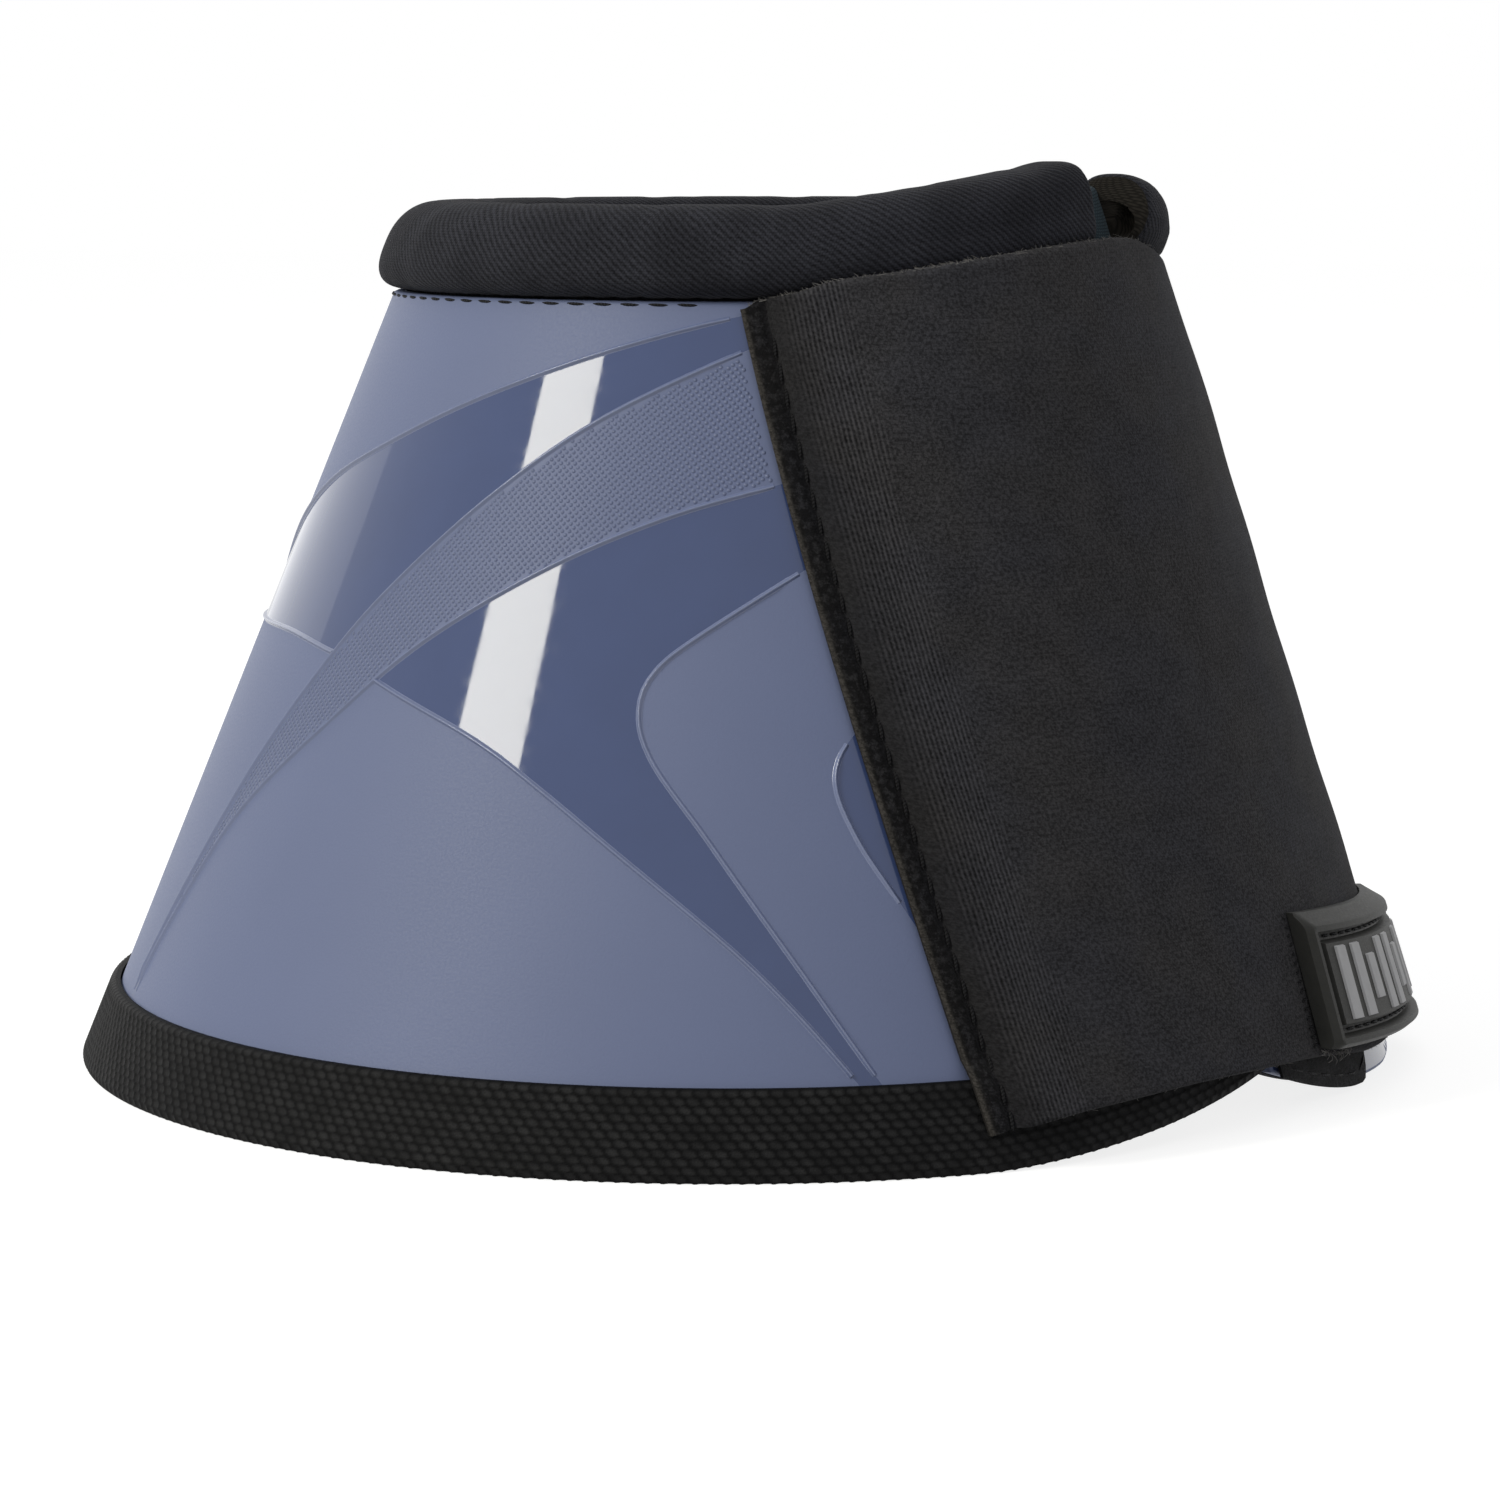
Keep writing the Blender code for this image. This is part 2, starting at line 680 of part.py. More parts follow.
def make_badge_inlay(material):
    edge = badge_rim + seat_gap
    floor = badge_outer - badge_recess + seat_gap
    length = badge_width - 2.0 * edge
    height = badge_height - 2.0 * edge
    pitch = length / badge_bar_count
    bar = pitch * badge_bar_share
    slope = badge_bar_slope
    columns = [0.0]
    for index in range(badge_bar_count):
        start = pitch * (index + 0.5) - bar / 2.0
        columns += [start - slope, start, start + bar, start + bar + slope]
    columns.append(length)
    margin = (height - badge_bar_length) / 2.0
    rows = (0.0, margin - slope, margin, height - margin, height - margin + slope, height)

    def point_at(column, row, face):
        on_bar = abs((column / pitch) % 1.0 - 0.5) * pitch < bar / 2.0 + slope / 2.0
        raised = on_bar and abs(row - height / 2.0) < (badge_bar_length + slope) / 2.0
        offset = floor + (badge_floor_wall + (badge_bar_height if raised else 0.0) if face else 0.0)
        return badge_place(edge + column, edge + row, offset)

    return slab("badge_inlay", columns, rows, point_at, material)


# Peel axis of the flap

def hinge_points():
    """Two points of the straight axis beside the sewn line. Its middle is hinge_height above the shell."""
    heights = (flap_bottom, shell_height / 2.0, shell_height)
    angles = [root_angle(height) + angle_for(root_strip_width, height) for height in heights]
    low, middle, high = (place(angle, height, 0.0) for angle, height in zip(angles, heights))
    sag = (middle - (low + high) / 2.0).length
    lift = hinge_height + sag
    return place(angles[0], heights[0], lift), place(angles[2], heights[2], lift)


def make_hinge(pieces):
    low, high = hinge_points()
    hinge = bpy.data.objects.new("flap_peel_axis", None)
    hinge.empty_display_size = flap_shoulder
    along = (high - low).normalized()
    turn = along.to_track_quat("Z", "Y").to_matrix().to_4x4()
    hinge.matrix_world = Matrix.Translation((low + high) / 2.0) @ turn
    bpy.context.scene.collection.objects.link(hinge)
    for piece in pieces:
        piece.parent = hinge
        piece.matrix_parent_inverse = hinge.matrix_world.inverted()


# Build

for thing in list(bpy.data.objects):
    bpy.data.objects.remove(thing, do_unlink=True)

shell_plastic = make_material("shell_plastic", (0.165, 0.185, 0.275), 0.45)
lining_foam = make_material("lining_foam", (0.020, 0.020, 0.022), 0.90)
collar_fabric = make_material("collar_fabric", (0.016, 0.016, 0.020), 0.80)
collar_foam = make_material("collar_foam", (0.050, 0.050, 0.055), 0.95)
binding_tape = make_material("binding_tape", (0.010, 0.010, 0.011), 0.70)
flap_fabric = make_material("flap_fabric", (0.020, 0.020, 0.023), 0.85)
hook_material = make_material("hook_tape", (0.012, 0.012, 0.013), 0.60)
loop_material = make_material("loop_fabric", (0.015, 0.015, 0.017), 0.95)
badge_rubber = make_material("badge_rubber", (0.018, 0.018, 0.018), 0.55)
badge_grey = make_material("badge_grey", (0.300, 0.300, 0.310), 0.50)

make_shell(shell_plastic)
make_lining(lining_foam)
make_collar_cover(collar_fabric)
make_collar_core(collar_foam)
make_collar_tab(collar_fabric)
make_binding(binding_tape)
make_root_strip(flap_fabric)
flap = make_flap(flap_fabric)
loop_end_angle = flap_free_angle - loop_pad_margin_angle
make_patch("loop_pad", right_end_angle + loop_pad_margin_angle / 2.0, loop_end_angle,
           loop_lower, tape_upper, loop_inner, loop_outer, loop_material)
hook_tapes = []
for index, place_name in enumerate(("front", "rear")):
    start_angle = hook_tape_start_angle + index * (hook_tape_width_angle + hook_tape_gap_angle)
    hook_tapes.append(make_patch(f"hook_tape_{place_name}", start_angle, start_angle + hook_tape_width_angle,
                                 tape_lower, tape_upper, hook_inner, hook_outer, hook_material))
badge = [make_badge_base(badge_rubber), make_badge_inlay(badge_grey)]
make_hinge([flap, *hook_tapes, *badge])
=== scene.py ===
import json
import math

import bpy
import numpy as np
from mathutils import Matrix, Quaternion, Vector
from mathutils.geometry import delaunay_2d_cdt


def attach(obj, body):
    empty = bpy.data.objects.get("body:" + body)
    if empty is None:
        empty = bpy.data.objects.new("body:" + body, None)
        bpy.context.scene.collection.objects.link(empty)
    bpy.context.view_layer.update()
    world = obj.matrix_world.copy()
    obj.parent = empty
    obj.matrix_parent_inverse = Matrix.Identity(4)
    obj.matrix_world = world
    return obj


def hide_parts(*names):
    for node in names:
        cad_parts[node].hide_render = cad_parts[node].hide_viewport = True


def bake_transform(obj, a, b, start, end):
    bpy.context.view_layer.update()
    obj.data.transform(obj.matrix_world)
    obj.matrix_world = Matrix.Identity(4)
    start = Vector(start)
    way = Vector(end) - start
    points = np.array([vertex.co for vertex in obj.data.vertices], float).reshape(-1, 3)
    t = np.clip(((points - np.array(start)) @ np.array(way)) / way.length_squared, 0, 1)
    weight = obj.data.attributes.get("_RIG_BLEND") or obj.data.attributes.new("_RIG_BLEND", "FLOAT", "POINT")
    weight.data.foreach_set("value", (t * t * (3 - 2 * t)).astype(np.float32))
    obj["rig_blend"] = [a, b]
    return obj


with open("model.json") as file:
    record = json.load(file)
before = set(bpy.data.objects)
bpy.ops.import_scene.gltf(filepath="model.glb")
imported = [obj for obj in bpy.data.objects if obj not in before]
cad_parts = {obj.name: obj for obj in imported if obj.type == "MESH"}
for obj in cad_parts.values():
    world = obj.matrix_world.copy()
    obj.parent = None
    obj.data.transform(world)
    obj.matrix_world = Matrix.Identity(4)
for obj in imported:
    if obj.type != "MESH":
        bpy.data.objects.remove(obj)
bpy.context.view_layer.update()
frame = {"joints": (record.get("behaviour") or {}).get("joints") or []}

# Sizes of the boot, as in the CAD, in metres and degrees
shell_bottom_radius, shell_top_radius, shell_height, shell_wall = 0.0886, 0.0504, 0.1050, 0.0020
shell_lean, closure_angle, closure_gap = 0.0052, -13.5, 0.0014
lining_wall, lining_rise = 0.0030, 0.0008
collar_half_width, collar_half_height, collar_squareness = 0.0055, 0.0059, 2.6
collar_cover_wall, collar_inset, collar_tail_length, collar_tail_stub = 0.0008, 0.0019, 0.0080, 0.0005
collar_start_angle, collar_end_angle = 3.4, -9.0
collar_tab_wall, collar_tab_height = 0.0022, 0.0095
left_top_climb, right_top_climb, left_climb_span, right_climb_span = 0.0054, 0.0042, 48.0, 58.0
left_corner_rise, right_corner_rise, left_corner_span, right_corner_span = 0.0073, 0.0048, 33.0, 14.0
corner_power = 1.5
binding_wall, binding_height, binding_roll, binding_end_angle = 0.0010, 0.0110, 0.0012, 26.0
flap_proud, flap_bottom, flap_bottom_climb, flap_top_climb = 0.0052, 0.0041, 0.0042, 0.0075
flap_bottom_shares = ((-46.0, 0.14), (-40.0, 0.60), (-34.0, 0.82), (-26.0, 1.0), (-17.0, 0.97),
                      (-9.0, 0.81), (0.0, 0.42), (18.0, 0.2), (37.0, 0.1))
flap_top_shares = ((-69.0, 0.0), (-63.0, 0.17), (-58.0, 0.36), (-48.0, 0.52), (-38.0, 0.68),
                   (-23.0, 0.89), (-7.0, 1.0), (2.0, 0.95), (18.0, 0.60), (37.0, 0.35))
flap_top_thinning, flap_top_thinning_length, flap_inner_drop = 0.0004, 0.0150, 0.0012
flap_shoulder, flap_ramp_angle, flap_ramp_lead_angle = 0.0050, 10.0, 2.0
flap_free_angle, flap_free_corner = 37.0, 0.0100
root_bottom_angle, root_top_angle, root_bow_angle = -45.2, -70.8, 8.0
root_strip_width, root_strip_wall = 0.0026, 0.0010
tape_wall, tape_margin, loop_pad_margin_angle = 0.0008, 0.0060, 1.2
loop_corner_margin, loop_corner_angles = -0.0004, (2.0, 8.0)
hook_tape_start_angle, hook_tape_width_angle, hook_tape_gap_angle = -6.5, 19.0, 2.0
badge_start_angle, badge_width, badge_height, badge_wall = -10.3, 0.0520, 0.0172, 0.0030
badge_bottom, badge_droop = 0.0090, 0.0030
seat_gap = 0.0003

# Shape of the soft pieces and of the sprung-out lower right corner, beyond the CAD's plain forms
corner_flare_shares = ((0.0, 0.0031), (0.004, 0.0029), (0.008, 0.0022), (0.014, 0.0016),
                       (0.022, 0.0008), (0.034, 0.0))
corner_flare_angles = (-6.0, 10.0, 28.0, 46.0)
collar_lift = ((-1.0, 0.0), (0.0, 0.0009), (20.0, 0.0008), (45.0, 0.0003), (70.0, 0.0))
right_end_shift = ((-0.0022, 0.0), (0.0, 0.0011), (0.0012, 0.0023), (0.0030, 0.0034),
                   (0.0055, 0.0040), (0.0105, 0.0051))
right_end_fade = ((-1.0, 0.0), (0.0, 1.10), (8.0, 1.05), (22.0, 0.95), (40.0, 0.55), (75.0, 0.0))
right_end_base = ((0.0, 0.0036), (15.0, 0.0026), (29.0, 0.0012), (45.0, 0.0))
left_end_shift = ((0.0, 0.0), (0.0020, 0.0004), (0.0056, 0.0003), (0.0086, 0.0011),
                  (0.0106, 0.0018), (0.0122, 0.0028))
left_end_fade = ((-62.0, 0.0), (-42.0, 0.42), (-28.0, 0.70), (-16.0, 1.0))

taper = (shell_bottom_radius - shell_top_radius) / shell_height
half_angle = math.atan(taper)
lean = shell_lean / shell_height
slant = math.sqrt(1.0 + taper * taper)
half_gap_angle = math.degrees(closure_gap / 2.0 / shell_bottom_radius)
right_end_angle = closure_angle + half_gap_angle
left_end_angle = closure_angle - half_gap_angle + 360.0
lining_outer = -shell_wall - seat_gap
lining_inner = lining_outer - lining_wall
tail_outer = lining_outer
tail_inner = tail_outer - collar_cover_wall
lining_top_outer = tail_inner - seat_gap
inner_tail_outer = lining_inner - seat_gap
inner_tail_inner = inner_tail_outer - collar_cover_wall
binding_inner = lining_inner - seat_gap - binding_wall
loop_inner = seat_gap
loop_outer = loop_inner + tape_wall
hook_inner = loop_outer + seat_gap
hook_outer = hook_inner + tape_wall
flap_over_tape = hook_outer + seat_gap
flap_over_binding = seat_gap + binding_wall + seat_gap
badge_seat = flap_proud + seat_gap
badge_outer = badge_seat + badge_wall
fabric_random = np.random.default_rng(7)


def radius_at(height):
    return shell_bottom_radius - taper * height


badge_front_turn = math.radians(-badge_start_angle)
badge_front_height = badge_bottom - badge_droop * badge_front_turn * radius_at(badge_bottom) / badge_width
set_back = (radius_at(badge_front_height) + badge_outer * slant
            - radius_at(binding_roll) - (seat_gap + binding_wall) * slant) / 2.0


def flared(angle, height, offset):
    """The offset with the lower right corner sprung out, less so towards the flap's outer face."""
    start, full, still_full, end = corner_flare_angles
    side = wrapped(angle)
    share = smooth_share((side - start) / (full - start)) * smooth_share((end - side) / (end - still_full))
    flare = table_value(corner_flare_shares, height) * share
    return offset + flare * np.clip(1.0 - offset / flap_proud, 0.0, 1.0)


def place(angle, height, offset):
    """Points of the boot from turn angle in degrees, height and outward offset, as arrays."""
    angle, height, offset = np.broadcast_arrays(angle, height, offset)
    offset = flared(angle, height, offset)
    across = outward(angle)
    cosine, sine = np.cos(np.radians(angle)), np.sin(np.radians(angle))
    level = height - offset * across[..., 2]
    foot = np.stack([lean * level + radius_at(level) * cosine - set_back, radius_at(level) * sine, level], -1)
    return foot + across * offset[..., None]


def outward(angle):
    """Outward unit normals of the shell."""
    turn = np.radians(np.asarray(angle, float))
    return unit(np.stack([np.cos(turn), np.sin(turn), taper - lean * np.cos(turn)], -1))


def around(angle):
    """Level unit vectors along the shell, towards larger angles."""
    turn = np.radians(np.asarray(angle, float))
    return np.stack([-np.sin(turn), np.cos(turn), np.zeros(turn.shape)], -1)


def angle_for(distance, height):
    return np.degrees(distance / radius_at(height))


def signed(angle):
    return wrapped(np.asarray(angle, float) - closure_angle)


def smooth_share(value):
    share = np.clip(value, 0.0, 1.0)
    return share * share * (3.0 - 2.0 * share)


def mix(low, high, share):
    return low + (high - low) * share


def wrapped(angle):
    """The same angle between -180 and 180 degrees."""
    return (np.asarray(angle, float) + 180.0) % 360.0 - 180.0


def table_value(table, value):
    """The value between the points of a table of (value, result) pairs."""
    return np.interp(value, *np.transpose(table))


def unit(vectors):
    return vectors / np.linalg.norm(vectors, axis=-1, keepdims=True)


def lengths_along(points):
    """The distance along the points to each of them."""
    return np.concatenate([[0.0], np.cumsum(np.linalg.norm(np.diff(points, axis=0), axis=1))])


def closed(points):
    return np.vstack([points, points[:1]])


def grid_uv(run, across):
    return np.stack(np.broadcast_arrays(np.asarray(run)[:, None], np.asarray(across)[None]), -1)


def border_of(count_u, count_v):
    """The places round the border of a grid, as an index into its points."""
    last_u, last_v = count_u - 1, count_v - 1
    border = [(i, 0) for i in range(last_u)] + [(last_u, j) for j in range(last_v)]
    border += [(i, last_v) for i in range(last_u, 0, -1)] + [(0, j) for j in range(last_v, 0, -1)]
    return tuple(np.transpose(border))


def line_share(points, angle):
    """The shares at angles on a smooth line through (angle, share) points."""
    angle = np.asarray(angle, float)
    knots = np.array([points[0], *points, points[-1]], float)
    index = np.clip(np.searchsorted(knots[1:-1, 0], angle), 1, len(points) - 1)
    before, start, end, after = (knots[index + step] for step in (-1, 0, 1, 2))
    span = end[..., 0] - start[..., 0]
    share = np.clip((angle - start[..., 0]) / span, 0.0, 1.0)
    leave = (end[..., 1] - before[..., 1]) / (end[..., 0] - before[..., 0]) * span
    arrive = (after[..., 1] - start[..., 1]) / (after[..., 0] - start[..., 0]) * span
    square = share * share
    cube = square * share
    return (start[..., 1] * (2.0 * cube - 3.0 * square + 1.0) + leave * (cube - 2.0 * square + share)
            + end[..., 1] * (3.0 * square - 2.0 * cube) + arrive * (cube - square))


def shell_top(angle):
    side = signed(angle)
    left = left_top_climb * np.maximum(0.0, 1.0 + side / left_climb_span)
    right = right_top_climb * np.maximum(0.0, 1.0 - side / right_climb_span)
    return shell_height + np.where(side <= 0.0, left, right)


def corner_rise(angle):
    side = signed(angle)
    left = left_corner_rise * np.maximum(0.0, 1.0 + side / left_corner_span) ** corner_power
    right = right_corner_rise * np.maximum(0.0, 1.0 - side / right_corner_span) ** corner_power
    return np.where(side <= 0.0, left, right)


def shell_bottom(angle):
    return binding_wall + seat_gap + corner_rise(angle)


def root_angle(height):
    share = np.asarray(height, float) / shell_height
    return mix(root_bottom_angle, root_top_angle, share) + root_bow_angle * share * (1.0 - share)


def turn_steps(start, end, step):
    return np.linspace(start, end, max(2, math.ceil(abs(end - start) / step)) + 1)


def unroll(angle, height):
    """The shell's face laid flat, in metres, so that patterns keep their size everywhere."""
    side = wrapped(angle)
    return roll(side, height, np.where(side < 0.0, -100.0, 100.0)) * (1.0, -1.0)


def roll(turn, height, middle=90.0):
    """Points of the cone laid flat round the middle angle, in metres."""
    reach = radius_at(height) / math.sin(half_angle)
    across = np.radians(turn - middle) * math.sin(half_angle)
    return np.stack([reach * np.sin(across), reach * np.cos(across)], -1)


def unrolled(points):
    """The turn angles and heights of points laid flat by roll."""
    turn = 90.0 + np.degrees(np.arctan2(points[:, 0], points[:, 1]) / math.sin(half_angle))
    return turn, (shell_bottom_radius - np.hypot(points[:, 0], points[:, 1]) * math.sin(half_angle)) / taper


# Mesh building

class Draft:
    """Collects the points, faces, UVs in metres and material slots of one piece."""

    def __init__(self):
        self.points, self.faces, self.uvs, self.slots, self.total = [], [], [], [], 0

    def add(self, points, faces, loop_uvs, slot=0):
        points = np.asarray(points, float).reshape(-1, 3)
        faces = np.asarray(faces)
        self.points.append(points)
        self.faces += (faces + self.total).tolist()
        self.uvs.append(np.asarray(loop_uvs, float).reshape(-1, 2))
        self.slots.append(np.broadcast_to(slot, len(faces)))
        self.total += len(points)

    def grid(self, points, uv, wrap_u=False, wrap_v=False, slot=0, flip=False):
        """A sheet of quads. uv has one more row or column than points where the sheet closes."""
        count_u, count_v = points.shape[:2]
        i, j = np.meshgrid(np.arange(count_u if wrap_u else count_u - 1),
                           np.arange(count_v if wrap_v else count_v - 1), indexing="ij")
        i, j = i.ravel(), j.ravel()
        corners = [(i, j), (i + 1, j), (i + 1, j + 1), (i, j + 1)]
        if flip:
            corners.reverse()
        faces = np.stack([(a % count_u) * count_v + b % count_v for a, b in corners], 1)
        self.add(points, faces, np.stack([uv[a, b] for a, b in corners], 1), slot)

    def cap(self, ring, slot=0, flip=False):
        order = np.arange(len(ring))[::-1] if flip else np.arange(len(ring))
        self.add(ring, [order], np.zeros((len(ring), 2)), slot)

    def tube(self, path, radii, over, sides=6, slot=0):
        """A round strand along a short path. over is a direction that isn't along it."""
        path = np.asarray(path, float)
        along = unit(np.gradient(path, axis=0))
        side = unit(np.cross(along, over))
        up = np.cross(side, along)
        turns = np.linspace(0.0, 2.0 * math.pi, sides, endpoint=False)
        rings = path[:, None] + np.asarray(radii)[:, None, None] * (
            np.cos(turns)[None, :, None] * side[:, None] + np.sin(turns)[None, :, None] * up[:, None])
        run = lengths_along(path)
        uv = grid_uv(run, np.linspace(0.0, 0.001, sides + 1))
        self.grid(rings, uv, wrap_v=True, slot=slot)


def make_object(name, draft, materials, sharp_angle=40.0):
    mesh = bpy.data.meshes.new(name)
    mesh.from_pydata(np.concatenate(draft.points), [], draft.faces)
    layer = mesh.uv_layers.new(name="UVMap")
    layer.data.foreach_set("uv", np.concatenate(draft.uvs).ravel())
    for material in materials:
        mesh.materials.append(material)
    mesh.polygons.foreach_set("material_index", np.concatenate(draft.slots).astype(np.int32))
    mesh.shade_smooth()
    if sharp_angle:
        mesh.set_sharp_from_angle(angle=math.radians(sharp_angle))
    mesh.update()
    thing = bpy.data.objects.new(name, mesh)
    bpy.context.scene.collection.objects.link(thing)
    return thing


def capped_run(draft, rings, uv):
    """A closed body through a row of rings, with a flat cap on each end."""
    draft.grid(rings, uv, wrap_v=True)
    draft.cap(rings[0], flip=True)
    draft.cap(rings[-1])


def section_run(draft, angles, section):
    """A closed body through the sections whose offsets and heights section(angle) gives."""
    profiles = [np.asarray(section(angle), float) for angle in angles]
    rings = np.array([place(angle, profile[:, 1], profile[:, 0]) for angle, profile in zip(angles, profiles)])
    run = np.radians(angles) * radius_at(0.0)
    capped_run(draft, rings, grid_uv(run, lengths_along(closed(profiles[0]))))


def rounded(points, radius, steps=3):
    """A polygon of (offset, height) points with its corners rounded."""
    points = np.asarray(points, float)
    result = []
    count = len(points)
    for index in range(count):
        before, corner, after = points[index - 1], points[index], points[(index + 1) % count]
        first, second = before - corner, after - corner
        reach = min(radius, 0.48 * np.linalg.norm(first), 0.48 * np.linalg.norm(second))
        start = corner + first / np.linalg.norm(first) * reach
        end = corner + second / np.linalg.norm(second) * reach
        for share in np.linspace(0.0, 1.0, steps + 1):
            result.append((1 - share) ** 2 * start + 2 * share * (1 - share) * corner + share ** 2 * end)
    return np.array(result)


# Materials

def srgb(red, green, blue):
    """A colour as read from a picture, in linear light."""
    values = np.array([red, green, blue]) / 255.0
    linear = np.where(values <= 0.04045, values / 12.92, ((values + 0.055) / 1.055) ** 2.4)
    return (*map(float, linear), 1.0)


def shade(color, share):
    return (*[channel * share for channel in color[:3]], 1.0)


def add_node(tree, kind, inputs, **settings):
    """A new node. Each of its inputs is another node's output or a plain value."""
    node = tree.nodes.new(kind)
    for key, value in settings.items():
        setattr(node, key, value)
    for key, value in inputs.items():
        if isinstance(value, bpy.types.NodeSocket):
            tree.links.new(value, node.inputs[key])
        else:
            node.inputs[key].default_value = value
    return node


class Finish:
    """A procedural material, with short ways to add its nodes. Lengths in it are millimetres."""

    def __init__(self, name, roughness, specular, **sockets):
        self.material = bpy.data.materials.new(name)
        self.material.use_nodes = True
        self.tree = self.material.node_tree
        self.shader = self.tree.nodes["Principled BSDF"]
        self.shader.inputs["Roughness"].default_value = roughness
        self.shader.inputs["Specular IOR Level"].default_value = specular
        for socket, value in sockets.items():
            self.shader.inputs[socket.replace("_", " ").title()].default_value = value
        metres = self.node("ShaderNodeTexCoord", {}).outputs["UV"]
        scale = self.node("ShaderNodeMapping", {"Vector": metres, "Scale": (1000.0, 1000.0, 1000.0)})
        self.place = scale.outputs["Vector"]
        parts = self.node("ShaderNodeSeparateXYZ", {"Vector": self.place})
        self.u, self.v = parts.outputs["X"], parts.outputs["Y"]

    def node(self, kind, inputs, **settings):
        return add_node(self.tree, kind, inputs, **settings)

    def math(self, operation, first, second=0.0, third=0.0):
        return self.node("ShaderNodeMath", {0: first, 1: second, 2: third}, operation=operation).outputs[0]

    def times(self, first, second):
        return self.math("MULTIPLY", first, second)

    def scaled(self, value, factor, plus):
        return self.math("MULTIPLY_ADD", value, factor, plus)

    def wave(self, turns):
        """A sine wave from 0 to 1."""
        return self.scaled(self.math("SINE", self.times(turns, 2.0 * math.pi)), 0.5, 0.5)

    def noise(self, size, detail=2.0, roughness=0.5):
        """Noise from 0 to 1 whose lumps are about size across."""
        inputs = {"Vector": self.place, "Scale": 1.0 / size, "Detail": detail, "Roughness": roughness}
        return self.node("ShaderNodeTexNoise", inputs).outputs["Fac"]

    def ramp(self, value, low, high, to_low=0.0, to_high=1.0):
        inputs = {"Value": value, "From Min": low, "From Max": high, "To Min": to_low, "To Max": to_high}
        return self.node("ShaderNodeMapRange", inputs, interpolation_type="SMOOTHSTEP").outputs["Result"]

    def fall(self, value, low, high):
        return self.ramp(value, low, high, 1.0, 0.0)

    def blend(self, share, first, second):
        inputs = {"Factor": share, "A": first, "B": second}
        return self.node("ShaderNodeMix", inputs, data_type="FLOAT").outputs["Result"]

    def color(self, share, first, second):
        return self.node("ShaderNodeMix", {0: share, 6: first, 7: second}, data_type="RGBA").outputs[2]

    def staggered(self, width, height):
        """Place inside the cells of a brick pattern: sideways and up, from -0.5 to 0.5."""
        row = self.math("DIVIDE", self.v, height)
        odd = self.math("MODULO", self.math("ABSOLUTE", self.math("FLOOR", row)), 2.0)
        column = self.scaled(odd, 0.5, self.math("DIVIDE", self.u, width))
        return [self.math("SUBTRACT", self.math("FRACT", line), 0.5) for line in (column, row)]

    def crowns(self, width, height, fill):
        """Rounded yarn crowns in a brick pattern, 1 on top and 0 in the gaps."""
        return self.times(*[self.fall(self.math("ABSOLUTE", place), 0.5 * fill, 0.5)
                            for place in self.staggered(width, height)])

    def dots(self, pitch, radius):
        """Round dots in a staggered grid, 1 inside a dot."""
        x, y = self.staggered(pitch, pitch / 2.0)
        x, y = self.times(x, pitch), self.times(y, pitch / 2.0)
        squares = self.math("ADD", self.times(x, x), self.times(y, y))
        return self.fall(self.math("SQRT", squares), 0.6 * radius, radius)

    def bump(self, height, depth):
        """Relief of depth millimetres for height from 0 to 1."""
        inputs = {"Height": height, "Distance": depth / 1000.0, "Strength": 1.0}
        return self.node("ShaderNodeBump", inputs).outputs["Normal"]

    def finish(self, color, normal=None, roughness=None):
        for value, socket in ((color, "Base Color"), (normal, "Normal"), (roughness, "Roughness")):
            if value is not None:
                self.tree.links.new(value, self.shader.inputs[socket])
        return self.material


shell_blue = srgb(103, 113, 145)
gloss_blue = srgb(62, 77, 119)


def plastic(name, roughness, specular, lump, shades, grain=None, depth=0.0, spread=None):
    """Moulded plastic between two shades of the shell's blue, with a fine grain."""
    look = Finish(name, roughness, specular)
    color = look.color(look.noise(lump), *[shade(shell_blue, share) for share in shades])
    if not grain:
        return look.finish(color)
    grain = look.noise(grain)
    roughness = look.ramp(grain, 0.3, 0.7, *spread) if spread else None
    return look.finish(color, look.bump(grain, depth), roughness)


def gloss_plastic():
    look = Finish("shell_gloss", roughness=0.05, specular=0.5)
    color = look.color(look.noise(9.0, 3.0), shade(gloss_blue, 0.92), shade(gloss_blue, 1.08))
    return look.finish(color, look.bump(look.noise(7.0, 1.0), 0.010),
                       look.ramp(look.noise(2.0, 3.0), 0.35, 0.7, 0.035, 0.075))


def collar_knit():
    """Stretch twill whose ribs run down towards the closure."""
    look = Finish("collar_knit", roughness=0.9, specular=0.07, sheen_weight=0.05, sheen_roughness=0.4)
    diagonal = look.math("ADD", look.times(look.u, 0.62), look.times(look.v, 0.78))
    wale = look.math("ADD", look.math("DIVIDE", diagonal, 0.72), look.times(look.noise(5.0, 3.0), 1.5))
    yarn = look.scaled(look.crowns(0.44, 0.34, 0.4), 0.25, look.times(look.wave(wale), 0.45))
    yarn = look.scaled(look.ramp(look.noise(0.55, 3.0, 0.7), 0.32, 0.68), 0.30, yarn)
    level = look.times(yarn, look.ramp(look.noise(9.0, 3.0), 0.35, 0.65, 0.75, 1.15))
    return look.finish(look.color(level, srgb(14, 14, 17), srgb(57, 58, 65)), look.bump(yarn, 0.14))


def binding_weave():
    """Woven tape. The second UV layer holds how high each point lies on its yarn."""
    look = Finish("binding_weave", roughness=0.6, specular=0.06)
    place = look.node("ShaderNodeUVMap", {}, uv_map="weave").outputs["UV"]
    crown = look.node("ShaderNodeSeparateXYZ", {"Vector": place}).outputs["X"]
    fibre = look.noise(0.20)
    # The colour follows the crown height: painted shade in the gaps between the yarns, a painted highlight on
    # their crowns.
    level = look.times(crown, look.ramp(look.noise(3.5), 0.3, 0.7, 0.55, 1.15))
    level = look.times(level, look.ramp(fibre, 0.25, 0.75, 0.6, 1.1))
    return look.finish(look.color(level, srgb(10, 10, 11), srgb(44, 44, 45)), look.bump(fibre, 0.05))


